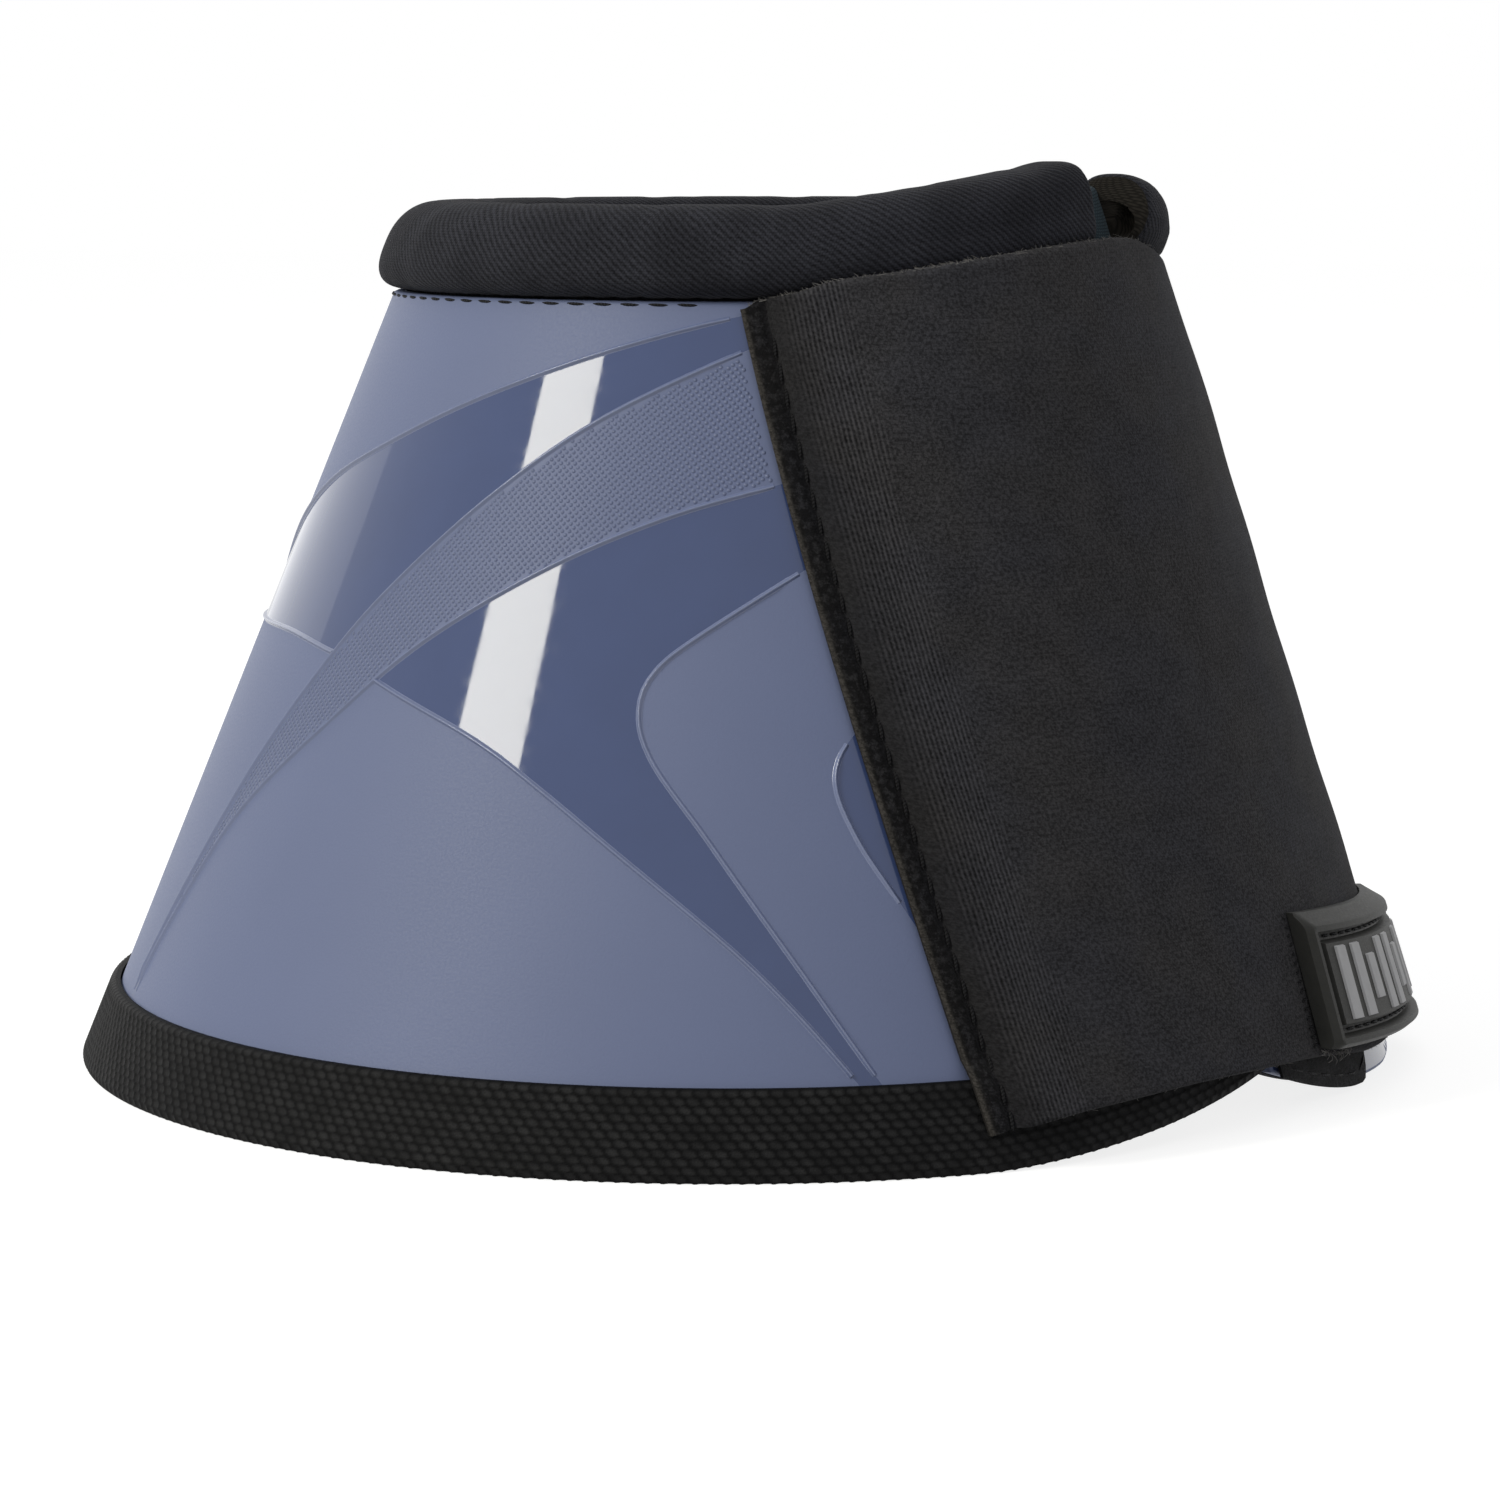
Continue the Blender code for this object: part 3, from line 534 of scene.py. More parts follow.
def flap_jersey():
    """Neoprene faced with fine jersey. Beside the sewn root the face is drawn into fine dark ribs, with a
    painted highlight on them and painted shade between them; painted shade also lies in the valley and on the
    seam by the root.
    """
    look = Finish("flap_jersey", roughness=0.92, specular=0.10, sheen_weight=0.04, sheen_roughness=0.5)
    rib = look.wave(look.scaled(look.noise(9.0), 0.9, look.math("DIVIDE", look.u, 0.56)))
    far = look.fall(look.scaled(look.noise(6.0), 6.0, look.u), 14.0, 18.5)
    ribbed = look.times(look.ramp(look.u, 4.2, 6.0), far)
    knit, mottle = look.crowns(0.46, 0.36, 0.4), look.noise(0.9, 4.0, 0.75)
    relief = look.blend(look.times(ribbed, 0.60), look.blend(0.82, knit, mottle), rib)
    fleck = look.ramp(look.noise(0.48, 3.0, 0.75), 0.36, 0.64)
    # The relief carries the ribs into the tone too: painted highlight on their tops, painted shade between
    # them.
    tone = look.scaled(fleck, 0.46, look.times(relief, 0.33))
    tone = look.scaled(look.ramp(look.noise(5.0, 4.0), 0.32, 0.68), 0.12, tone)
    # More painted highlight on the ribs and painted shade between them.
    tone = look.scaled(look.times(ribbed, look.math("SUBTRACT", rib, 0.42)), 0.30, tone)

    # Painted shade in the valley beside the seam, and painted shade, deepest in dark pits, on the seam itself
    # beside the thin pale lip
    valley_shade = look.times(look.ramp(look.u, 2.3, 3.0), look.fall(look.u, 4.0, 10.0))
    tone = look.times(tone, look.scaled(valley_shade, -0.58, 1.0))
    # Painted shade on the lip up to the seam, darker still in its pits.
    pits = look.ramp(look.noise(1.1, 3.0, 0.7), 0.40, 0.56)
    seam = look.times(look.ramp(look.u, 0.35, 0.85), look.fall(look.u, 2.4, 3.2))
    tone = look.times(tone, look.scaled(look.times(seam, look.scaled(pits, 0.45, 0.50)), -1.0, 1.0))
    warmth = look.times(look.ramp(look.noise(16.0), 0.35, 0.65), 0.35)
    warmth = look.math("MAXIMUM", warmth, look.fall(look.u, 0.3, 1.6))
    cool = look.color(tone, srgb(13, 13, 15), srgb(73, 73, 78))
    warm = look.color(tone, srgb(17, 16, 15), srgb(78, 75, 72))
    return look.finish(look.color(warmth, cool, warm), look.bump(relief, 0.16))


def cut_foam():
    look = Finish("cut_foam", roughness=0.95, specular=0.12)
    pores = look.noise(0.30, 3.0, 0.7)
    color = look.color(look.ramp(pores, 0.35, 0.75), srgb(26, 25, 24), srgb(62, 59, 56))
    return look.finish(color, look.bump(pores, 0.15))


def lining_jersey(name, dark, light, depth=0.08):
    look = Finish(name, roughness=0.92, specular=0.08, sheen_weight=0.04)
    relief = look.blend(0.4, look.crowns(0.55, 0.40, 0.4), look.noise(1.1, 4.0, 0.7))
    return look.finish(look.color(relief, dark, light), look.bump(relief, depth))


def thread():
    look = Finish("thread", roughness=0.6, specular=0.12)
    ply = look.times(look.math("ADD", look.u, look.times(look.v, 0.5)), 14.0)
    share = look.scaled(look.math("SINE", ply), 0.5, 0.5)
    return look.finish(look.color(share, srgb(9, 9, 10), srgb(34, 34, 36)), look.bump(share, 0.05))


def fuzz():
    look = Finish("fuzz", roughness=0.9, specular=0.1)
    return look.finish(look.color(look.noise(0.5, 1.0), srgb(96, 94, 92), srgb(150, 148, 146)))


def hook_face():
    look = Finish("hook_face", roughness=0.45, specular=0.4)
    height = look.scaled(look.crowns(0.65, 0.33, 0.3), 0.3, look.times(look.dots(1.3, 0.33), 0.7))
    return look.finish(look.color(height, srgb(10, 10, 11), srgb(58, 58, 60)), look.bump(height, 0.35))


def loop_pile():
    look = Finish("loop_pile", roughness=0.95, specular=0.12, sheen_weight=0.15, sheen_roughness=0.5)
    height = look.scaled(look.noise(2.5), 0.4, look.times(look.noise(0.45, 4.0, 0.75), 0.6))
    return look.finish(look.color(look.ramp(height, 0.3, 0.7), srgb(14, 14, 15), srgb(56, 56, 58)),
                       look.bump(height, 0.5))


def rubber(name, dark, light, roughness):
    look = Finish(name, roughness, specular=0.2)
    grain = look.noise(0.25)
    return look.finish(look.color(look.noise(2.5, 3.0), dark, light), look.bump(grain, 0.03),
                       look.ramp(grain, 0.3, 0.7, roughness - 0.06, roughness + 0.06))


matte = plastic("shell_matte", 0.55, 0.35, 18.0, (0.96, 1.04), 0.35, 0.025, (0.50, 0.60))
dotted = plastic("shell_dotted", 0.5, 0.35, 6.0, (0.90, 0.98), 0.35, 0.02)
# The beads are a lighter blue than the shell: a painted highlight along them.
bead = plastic("shell_bead", 0.20, 0.7, 3.0, (1.02, 1.24), 1.2, 0.02)
dot_finish = plastic("shell_dot", 0.36, 0.45, 2.0, (0.80, 0.93))
gloss = gloss_plastic()
collar_fabric = collar_knit()
binding_fabric = binding_weave()
flap_fabric = flap_jersey()
foam_edge = cut_foam()
lining_fabric = lining_jersey("lining_jersey", srgb(20, 20, 22), srgb(46, 46, 50))
flap_back_fabric = lining_jersey("flap_back_jersey", srgb(20, 20, 22), srgb(44, 44, 48))
tab_fabric = lining_jersey("tab_webbing", srgb(30, 37, 41), srgb(62, 76, 84))
collar_end_fabric = lining_jersey("collar_end_face", srgb(22, 21, 19), srgb(52, 49, 45), 0.12)
black_thread = thread()
fuzz_fibre = fuzz()
hook_fabric = hook_face()
loop_fabric = loop_pile()
badge_rubber = rubber("badge_rubber", srgb(36, 36, 34), srgb(50, 50, 48), 0.55)
badge_grey = rubber("badge_grey", srgb(168, 168, 170), srgb(188, 188, 190), 0.6)


# Moulded shell

# Degrees from +X and shares of the shell's height, run on under the flap, the loop pad and the binding
swirl_line_shares = {
    "upper_band_top": [(30, 1.04), (44, 1.02), (58, 1.00), (72, 0.98), (90, 0.937), (108, 0.88), (124, 0.82),
                       (140, 0.76), (155, 0.68), (166, 0.575)],
    "upper_band_bottom": [(30, 1.075), (51, 1.00), (70, 0.94), (88, 0.86), (101, 0.77), (112, 0.667),
                          (120, 0.57), (129, 0.42), (136, 0.25), (140, 0.115), (141.5, 0.03)],
    "dotted_band_bottom": [(28, 0.89), (40, 0.855), (52, 0.82), (64, 0.787), (78, 0.746), (92, 0.682),
                           (106, 0.59), (117, 0.485), (129, 0.354), (136.5, 0.20), (139, 0.115), (140, 0.03)],
    "upper_band_end": [(120.5, 0.565), (133, 0.58), (150, 0.578), (166, 0.575)],
    "lower_band_outer": [(111.5, 0.54), (97, 0.487), (87.5, 0.43), (77, 0.346), (68, 0.262), (62, 0.19),
                         (57, 0.115), (52, 0.03)],
    "tongue": [(28, 0.835), (40, 0.785), (52, 0.735), (61, 0.688), (72, 0.615), (77, 0.57), (78.3, 0.525),
               (76.5, 0.47), (70, 0.376), (62, 0.245), (55, 0.115), (50.5, 0.03)],
    "pocket": [(28, 0.63), (40, 0.585), (50, 0.54), (55.5, 0.503), (58, 0.45), (56, 0.38), (51, 0.285),
               (45, 0.16), (38, 0.03)],
}
right_cut_angle = 36.2                     # the bands run in under the flap's free end to here
upper_band_cut, lower_band_cut = 120.0, 111.0  # the two gloss bands end at these turns
inner_band_start, inner_band_drop = -15.0, 0.002
line_step, line_clear_of_edge, cut_steps = 0.0012, 1e-4, 60
bead_half_width, bead_height, bead_sink = 0.00042, 0.00042, 0.00001
bead_clearances = (0.0009, 0.0, 0.0007, 0.0006)  # at the root, the free end in degrees, the top, the binding
dot_pitch, dot_radius, dot_height, dot_sides = 0.00098, 0.00030, 0.00011, 8
dot_clearances = (0.0012, 0.5, 0.0012, 0.0010)
dot_rings = ((0.6, 0.72, 0.5), (1.0, -0.1, 0.9))  # share of the radius, share of the height, tilt
shell_edge, edge_steps = 0.0005, 5
grid_step_angle, grid_step_height, grid_clearance = 1.5, 0.0022, 0.0015
flat_radius, line_clearance = 70.0, 0.8    # millimetres, where the skin is laid flat


def smooth_curve(controls, step):
    """Points of a smooth curve through (angle, height) control points."""
    controls = [np.array(control, float) for control in controls]
    padded = [controls[0]] + controls + [controls[-1]]
    points = []
    for before, start, end, after in zip(padded, padded[1:], padded[2:], padded[3:]):
        sideways = math.radians(end[0] - start[0]) * radius_at(start[1])
        length = math.hypot(sideways, (end[1] - start[1]) * slant)
        count = max(1, round(length / step))
        for share in np.arange(count) / count:
            points.append(0.5 * ((2.0 * start) + (end - before) * share
                                 + (2.0 * before - 5.0 * start + 4.0 * end - after) * share ** 2
                                 + (3.0 * start - before - 3.0 * end + after) * share ** 3))
    points.append(controls[-1])
    return np.array(points)


swirl = {name: smooth_curve([(turn, share * shell_height) for turn, share in shares], line_step)
         for name, shares in swirl_line_shares.items()}


def inside(points, polygon):
    """Which points lie inside a polygon."""
    x, y = points[:, 0], points[:, 1]
    result = np.zeros(len(points), bool)
    for (x0, y0), (x1, y1) in zip(polygon, np.roll(polygon, -1, axis=0)):
        crosses = (y0 > y) != (y1 > y)
        with np.errstate(divide="ignore", invalid="ignore"):
            at = (x1 - x0) * (y - y0) / (y1 - y0) + x0
        result ^= crosses & (x < at)
    return result


def band_polygons():
    top, bottom, dots = swirl["upper_band_top"], swirl["upper_band_bottom"], swirl["dotted_band_bottom"]
    end, outer = swirl["upper_band_end"], swirl["lower_band_outer"]
    tongue, pocket = swirl["tongue"], swirl["pocket"]
    upper = np.vstack([top, end[::-1], bottom[bottom[:, 0] < upper_band_cut][::-1]])
    lower = np.vstack([dots[dots[:, 0] < lower_band_cut], outer, tongue[::-1]])
    dot_band = np.vstack([bottom, dots[::-1]])
    inner = np.vstack([pocket, [(inner_band_start, pocket[-1, 1] - inner_band_drop),
                                (inner_band_start, pocket[0, 1])]])
    return ((upper, 1), (lower, 1), (inner, 1), (dot_band, 2))


def left_cut(height):
    """Where the bands end under the flap's sewn edge."""
    return -(root_angle(height) + angle_for(root_strip_width / 2.0, height))


def shell_loop(inset):
    """The shell's outline, drawn in by inset, as angles and heights, with equal lower and upper edges."""
    turns = turn_steps(right_end_angle, left_end_angle, grid_step_angle)
    ends = np.linspace(0.0, 1.0, 24)[1:-1]
    angle = np.concatenate([turns, np.full(len(ends), left_end_angle), turns[::-1],
                            np.full(len(ends), right_end_angle)])
    share = np.concatenate([np.zeros(len(turns)), ends, np.ones(len(turns)), ends[::-1]])
    angle = np.clip(angle, right_end_angle + angle_for(inset, 0.0), left_end_angle - angle_for(inset, 0.0))
    height = mix(shell_bottom(angle) + inset, shell_top(angle) - inset, share)
    return angle, height, len(turns), len(ends)


def flat_place(angle, height):
    """Points of the skin laid flat as on a cylinder, in millimetres."""
    return np.stack([np.radians(angle) * flat_radius, np.asarray(height) * slant * 1000.0], -1)


def ornament_shows(turn, height, on_left, clearances):
    """Whether beads or dots there are clear of the flap, the collar and the binding."""
    by_root, by_free_end, by_top, by_binding = clearances
    angle = 360.0 - turn if on_left else turn
    start = -root_angle(height) + angle_for(by_root, height) if on_left else right_cut_angle + by_free_end
    return ((turn > start) & (height < shell_top(angle) - by_top)
            & (height > binding_height + corner_rise(angle) + by_binding))


def dot_places():
    """Turn angles and heights of the dots in the right side's dotted band."""
    flat = roll(*np.vstack([swirl["upper_band_bottom"], swirl["dotted_band_bottom"][::-1]]).T)
    low, high = flat.min(0), flat.max(0)
    column, row = np.meshgrid(np.arange(low[0], high[0], dot_pitch),
                              np.arange(low[1], high[1], dot_pitch / 2.0),
                              indexing="ij")
    odd = np.arange(row.shape[1])[None] % 2
    points = np.stack([column + odd * dot_pitch / 2.0, row], -1).reshape(-1, 2)
    points = points[inside(points, flat)]
    margin = bead_half_width + dot_radius
    clear = [np.min(np.sum((flat - point) ** 2, axis=1)) > margin ** 2 for point in points]
    return unrolled(points[np.array(clear)])


def add_dots(draft, normals):
    """Small round bumps in staggered rows over the dotted bands."""
    turn, height = dot_places()
    steps = np.arange(dot_sides)
    following = (steps + 1) % dot_sides
    cap = np.stack([0 * steps, 1 + steps, 1 + following], 1)
    skirt = np.stack([1 + steps, 1 + dot_sides + steps, 1 + dot_sides + following, 1 + following], 1)
    for on_left in (False, True):
        angle = 360.0 - turn if on_left else turn
        shown = ornament_shows(turn, height, on_left, dot_clearances)
        center, level = angle[shown], height[shown]
        across, side = outward(center), around(center)
        up = np.cross(across, side)
        foot = place(center, level, 0.0)
        rings, facing = [foot + across * dot_height], [across]
        for share, rise, tilt in dot_rings:
            for step in steps / dot_sides * 2.0 * math.pi:
                way = side * math.cos(step) + up * math.sin(step)
                rings.append(foot + way * dot_radius * share + across * dot_height * rise)
                facing.append(across * math.sqrt(1.0 - tilt * tilt) + way * tilt)
        first = np.arange(len(center))[:, None, None] * len(rings)
        flat = roll(turn[shown], level)
        for corners, points, shift in ((cap, np.stack(rings, 1), 0),
                                       (skirt, np.zeros((0, 3)), first.size * len(rings))):
            faces = (first + corners[None]).reshape(-1, corners.shape[1]) - shift
            draft.add(points, faces, np.repeat(flat, corners.size, axis=0), 4)
        normals.append(np.stack(facing, 1).reshape(-1, 3))


def add_skin(draft, normals):
    """The outer face, one mesh that has the swirl lines and the outline among its edges."""
    outline = flat_place(*shell_loop(shell_edge)[:2])
    points, count = [outline], len(outline)
    edges = [(index, (index + 1) % count) for index in range(count)]
    lines = []
    for curve in swirl.values():
        lines += [curve, np.stack([360.0 - curve[:, 0], curve[:, 1]], 1)]
    heights = np.linspace(0.0, shell_height * 1.1, cut_steps)
    lines.append(np.stack([360.0 - left_cut(heights), heights], 1))
    lines.append(np.stack([np.full(len(heights), right_cut_angle), heights], 1))
    for line in lines:
        low, high = shell_bottom(line[:, 0]) + shell_edge, shell_top(line[:, 0]) - shell_edge
        kept = np.flatnonzero((line[:, 1] > low + line_clear_of_edge)
                              & (line[:, 1] < high - line_clear_of_edge))
        start = count
        points.append(flat_place(line[kept, 0], line[kept, 1]))
        for index, (first, second) in enumerate(zip(kept, kept[1:])):
            if second == first + 1:
                edges.append((start + index, start + index + 1))
        count += len(kept)
    fixed = np.concatenate(points)
    turn, height = np.meshgrid(turn_steps(right_end_angle, left_end_angle, grid_step_angle)[1:-1],
                               np.arange(0.003, shell_height * 1.06, grid_step_height), indexing="ij")
    turn, height = turn.ravel(), height.ravel()
    held = (height > shell_bottom(turn) + grid_clearance) & (height < shell_top(turn) - grid_clearance)
    loose = flat_place(turn[held], height[held])
    near = np.array([np.min(np.sum((fixed - point) ** 2, axis=1)) < line_clearance ** 2 for point in loose])
    everything = np.concatenate([fixed, loose[~near]])
    vertices, _, faces, *_ = delaunay_2d_cdt([Vector(point) for point in everything], edges, [], 0, 1e-4)
    flat = np.array([tuple(vertex) for vertex in vertices])
    angle = np.degrees(flat[:, 0] / flat_radius)
    level = flat[:, 1] / slant / 1000.0
    faces = np.array(faces)
    middle, middle_level = angle[faces].mean(1), level[faces].mean(1)
    held = ((middle_level > shell_bottom(middle) + shell_edge - 2e-6)
            & (middle_level < shell_top(middle) - shell_edge + 2e-6))
    faces, middle, middle_level = faces[held], middle[held], middle_level[held]
    on_left = middle > 180.0
    turn = np.where(on_left, 360.0 - middle, middle)
    shown = np.where(on_left, turn > left_cut(middle_level), True)
    slots = np.zeros(len(faces), int)
    for polygon, slot in band_polygons():
        slots[inside(np.stack([turn, middle_level], 1), polygon) & shown] = slot
    draft.add(place(angle, level, 0.0), faces, unroll(angle, level)[faces], slots)
    normals.append(outward(angle))


def add_rim(draft, normals):
    """The rounded edge all round, and the inner face."""
    quarter = np.linspace(0.0, math.pi / 2.0, edge_steps)
    profile = [(shell_edge * (1.0 - math.sin(turn)), -shell_edge * (1.0 - math.cos(turn)))
               for turn in quarter]
    profile += [(inset, -shell_wall - depth) for inset, depth in reversed(profile)]
    leans = [math.cos(turn) for turn in quarter]
    leans += [-lean_out for lean_out in reversed(leans)]
    rows, facing = [], []
    for (inset, depth), lean_out in zip(profile, leans):
        angle, height, turns, ends = shell_loop(inset)
        rows.append(place(angle, height, depth))
        away = around(angle)
        away[:turns] = (0.0, 0.0, -1.0)
        away[turns + ends:2 * turns + ends] = (0.0, 0.0, 1.0)
        away[2 * turns + ends:] *= -1.0
        facing.append(unit(outward(angle) * lean_out + away * math.sqrt(max(0.0, 1.0 - lean_out ** 2))))
    rim = np.array(rows).transpose(1, 0, 2)
    run = np.linspace(0.0, 0.8, len(rim) + 1)
    uv = grid_uv(run, np.linspace(0.0, 0.003, rim.shape[1]))
    draft.grid(rim, uv, wrap_u=True, flip=True)
    normals.append(np.array(facing).transpose(1, 0, 2).reshape(-1, 3))
    back = np.stack([rim[:turns, -1], rim[turns + ends:2 * turns + ends, -1][::-1]], 1)
    draft.grid(back, np.zeros((*back.shape[:2], 2)), flip=True)
    normals.append(-np.repeat(outward(shell_loop(0.0)[0][:turns]), 2, axis=0))


def add_beads(draft, normals):
    """The raised beads along the swirl lines."""
    section = [(turn / math.pi * bead_half_width, (math.cos(turn) * 0.5 + 0.5) * bead_height)
               for turn in np.linspace(-math.pi, math.pi, 11)]
    for name, curve in swirl.items():
        for on_left in (False, True):
            turn, height = curve[:, 0], curve[:, 1]
            angle = 360.0 - turn if on_left else turn
            kept = np.flatnonzero(ornament_shows(turn, height, on_left, bead_clearances))
            if len(kept) < 4:
                continue
            angle, height = angle[kept], height[kept]
            line = place(angle, height, 0.0)
            across = outward(angle)
            side = np.cross(unit(np.gradient(line, axis=0)), across)
            fade = np.minimum(np.arange(len(kept)), np.arange(len(kept))[::-1])
            blunt = name in ("upper_band_end", "lower_band_outer")
            fade = np.where(blunt, 1.0, np.clip(fade / 3.0, 0.25, 1.0))
            rows = np.stack([line + side * x + across * (y * fade[:, None] - bead_sink)
                             for x, y in section], 1)
            run = lengths_along(line)
            uv = grid_uv(run, np.linspace(0.0, 0.0013, len(section)))
            draft.grid(rows, uv, slot=3, flip=True)
            slope = np.gradient([y for _, y in section]) / np.gradient([x for x, _ in section])
            normals.append(unit(np.stack([across - side * s for s in slope], 1)).reshape(-1, 3))


def make_shell_skin():
    draft, normals = Draft(), []
    for add_part in (add_skin, add_rim, add_beads, add_dots):
        add_part(draft, normals)
    thing = make_object("shell_skin", draft, [matte, gloss, dotted, bead, dot_finish], sharp_angle=None)
    thing.data.normals_split_custom_set_from_vertices(np.concatenate(normals))
    return thing


shell_skin = make_shell_skin()
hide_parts("moulded_shell")
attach(shell_skin, "boot")


# Lining

def make_lining():
    def section(angle):
        top, bottom = shell_top(angle) + lining_rise, shell_bottom(angle)
        step_at = shell_top(angle) - (collar_tail_length + collar_cover_wall)
        profile = ((lining_outer, bottom), (lining_outer, step_at),
                   (lining_top_outer, step_at + collar_cover_wall), (lining_top_outer, top),
                   (lining_inner, top), (lining_inner, bottom))
        return rounded(profile, 0.0006)

    draft = Draft()
    section_run(draft, turn_steps(right_end_angle, left_end_angle, 1.5), section)
    return make_object("lining_pad", draft, [lining_fabric])


lining = make_lining()
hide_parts("neoprene_lining")
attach(lining, "boot")


# Collar

seam_pitch, seam_pucker, seam_spread = 0.0038, 0.00018, 0.5
collar_wander = ((0.00009, 310.0, 0.0), (0.00005, 770.0, 1.0))  # depth, rate and phase
tab_drift = 0.0016                         # the tab between the ends runs outwards by this much
right_end_narrowing = ((0.0, 0.86), (0.06, 0.90), (0.2, 0.94), (0.5, 0.98), (1.0, 1.0))
right_end_lowering = ((0.0, 0.90), (0.04, 0.95), (0.12, 0.985), (0.3, 1.0), (1.0, 1.0))
left_end_narrowing = ((0.0, 0.90), (0.05, 0.95), (0.15, 1.0), (1.0, 1.0))
left_end_lowering = ((0.0, 0.96), (0.05, 0.985), (0.15, 1.0), (1.0, 1.0))
right_end_run, left_end_run = 12.0, 8.0    # degrees
end_slant, end_slant_run = 0.0009, 7.0     # the left end's upper half is cut back by this much
end_grading, end_steps = 1.8, 15
hollow_place, hollow_size, hollow_depth = (0.0020, -0.0004), (0.0018, 0.0026), 0.0026
bulge_size, bulge_height = (0.0048, 0.0056), 0.0009
tuck_size, tuck_depth = (0.0030, 0.0036), 0.0008
cap_sides, cap_middle = 64, 0.03
cap_shares = (1.0, 0.985, 0.96, 0.93, *np.arange(0.89, 0.05, -0.035), cap_middle)
core_sides, core_set_back = 24, 0.0028


def collar_base(angle):
    return shell_top(np.minimum(angle, left_end_angle))


def collar_place(angle, rise, offset):
    """A point of the collar, which stands more upright near its ends than the cone does."""
    along = wrapped(np.asarray(angle, float) - collar_start_angle)
    above = rise - table_value(right_end_base, along)
    shift = table_value(right_end_shift, above) * table_value(right_end_fade, along)
    fade = np.where(along < -10.0, table_value(left_end_fade, along), 0.0)
    shift += table_value(left_end_shift, rise) * fade
    lift = table_value(collar_lift, along) * smooth_share(rise / 0.007)
    return place(angle, collar_base(angle) + rise + lift, offset + shift)


def tube_point(turns, inset, gather):
    """The tube's section as offsets and heights above the seam. gather draws it in across and upwards."""
    across, up, power = np.cos(turns), np.sin(turns), collar_squareness
    reach = (np.abs(across) ** power + np.abs(up) ** power) ** (-1.0 / power)
    offset = gather[0] * reach * across * (collar_half_width - inset) - collar_inset
    rise = gather[1] * reach * up * (collar_half_height - inset) + seat_gap + collar_half_height
    return np.stack([offset, rise], -1)


def opening_turn(offset, inset):
    across = (offset + collar_inset) / (collar_half_width - inset)
    return math.atan2(-((1.0 - abs(across) ** collar_squareness) ** (1.0 / collar_squareness)), across)


def collar_run(inset=0.0, more_inset=0.0):
    """Angles along the collar with the shares to which its ends are drawn in, across and upwards."""
    start, end = collar_start_angle + inset + more_inset, collar_end_angle + 360.0 - inset
    full_start, full_end = collar_start_angle + right_end_run, collar_end_angle + 360.0 - left_end_run
    near = np.linspace(0.0, 1.0, end_steps) ** end_grading
    angles = [mix(start, full_start, share) for share in near]
    angles += list(turn_steps(full_start, full_end, 0.75)[1:-1])
    angles += [mix(end, full_end, share) for share in near[::-1]]
    run = []
    for angle in angles:
        share = (angle - collar_start_angle) / right_end_run
        other = (collar_end_angle + 360.0 - angle) / left_end_run
        narrow = table_value(right_end_narrowing, share) * table_value(left_end_narrowing, other)
        lower = table_value(right_end_lowering, share) * table_value(left_end_lowering, other)
        run.append((angle, np.array([narrow, lower])))
    return run


def end_cap(draft, angle, gather, way, relief, slot=0):
    """A soft face over the tube's end. relief(across, up) is how far it stands out, in metres."""
    turns = np.linspace(0.0, 2.0 * math.pi, cap_sides, endpoint=False)
    rows = []
    for share in cap_shares:
        points = tube_point(turns, 0.0, gather * share)
        out = relief(points[:, 0] + collar_inset, points[:, 1] - seat_gap - collar_half_height)
        out = out * (share < 1.0)
        tilt = slanted(angle, points[:, 1]) if way > 0.0 else 0.0
        turn = angle + way * angle_for(out, shell_height) - tilt
        rows.append(collar_place(turn, points[:, 1], points[:, 0]))
    grid = np.array(rows)
    flat = tube_point(np.linspace(0.0, 2.0 * math.pi, cap_sides + 1), 0.0, gather)
    uv = flat[None] * np.linspace(1.0, cap_middle, len(rows))[:, None, None]
    draft.grid(grid, uv, wrap_v=True, flip=way < 0.0, slot=slot)
    draft.cap(grid[-1], slot, flip=way > 0.0)


def slanted(angle, rise):
    """How many degrees the left end's upper half is cut back."""
    near = smooth_share((angle - (collar_end_angle + 360.0 - end_slant_run)) / end_slant_run)
    middle = seat_gap + collar_half_height
    return near * angle_for(end_slant, shell_height) * np.clip((rise - middle) / collar_half_height, 0.0, 1.0)


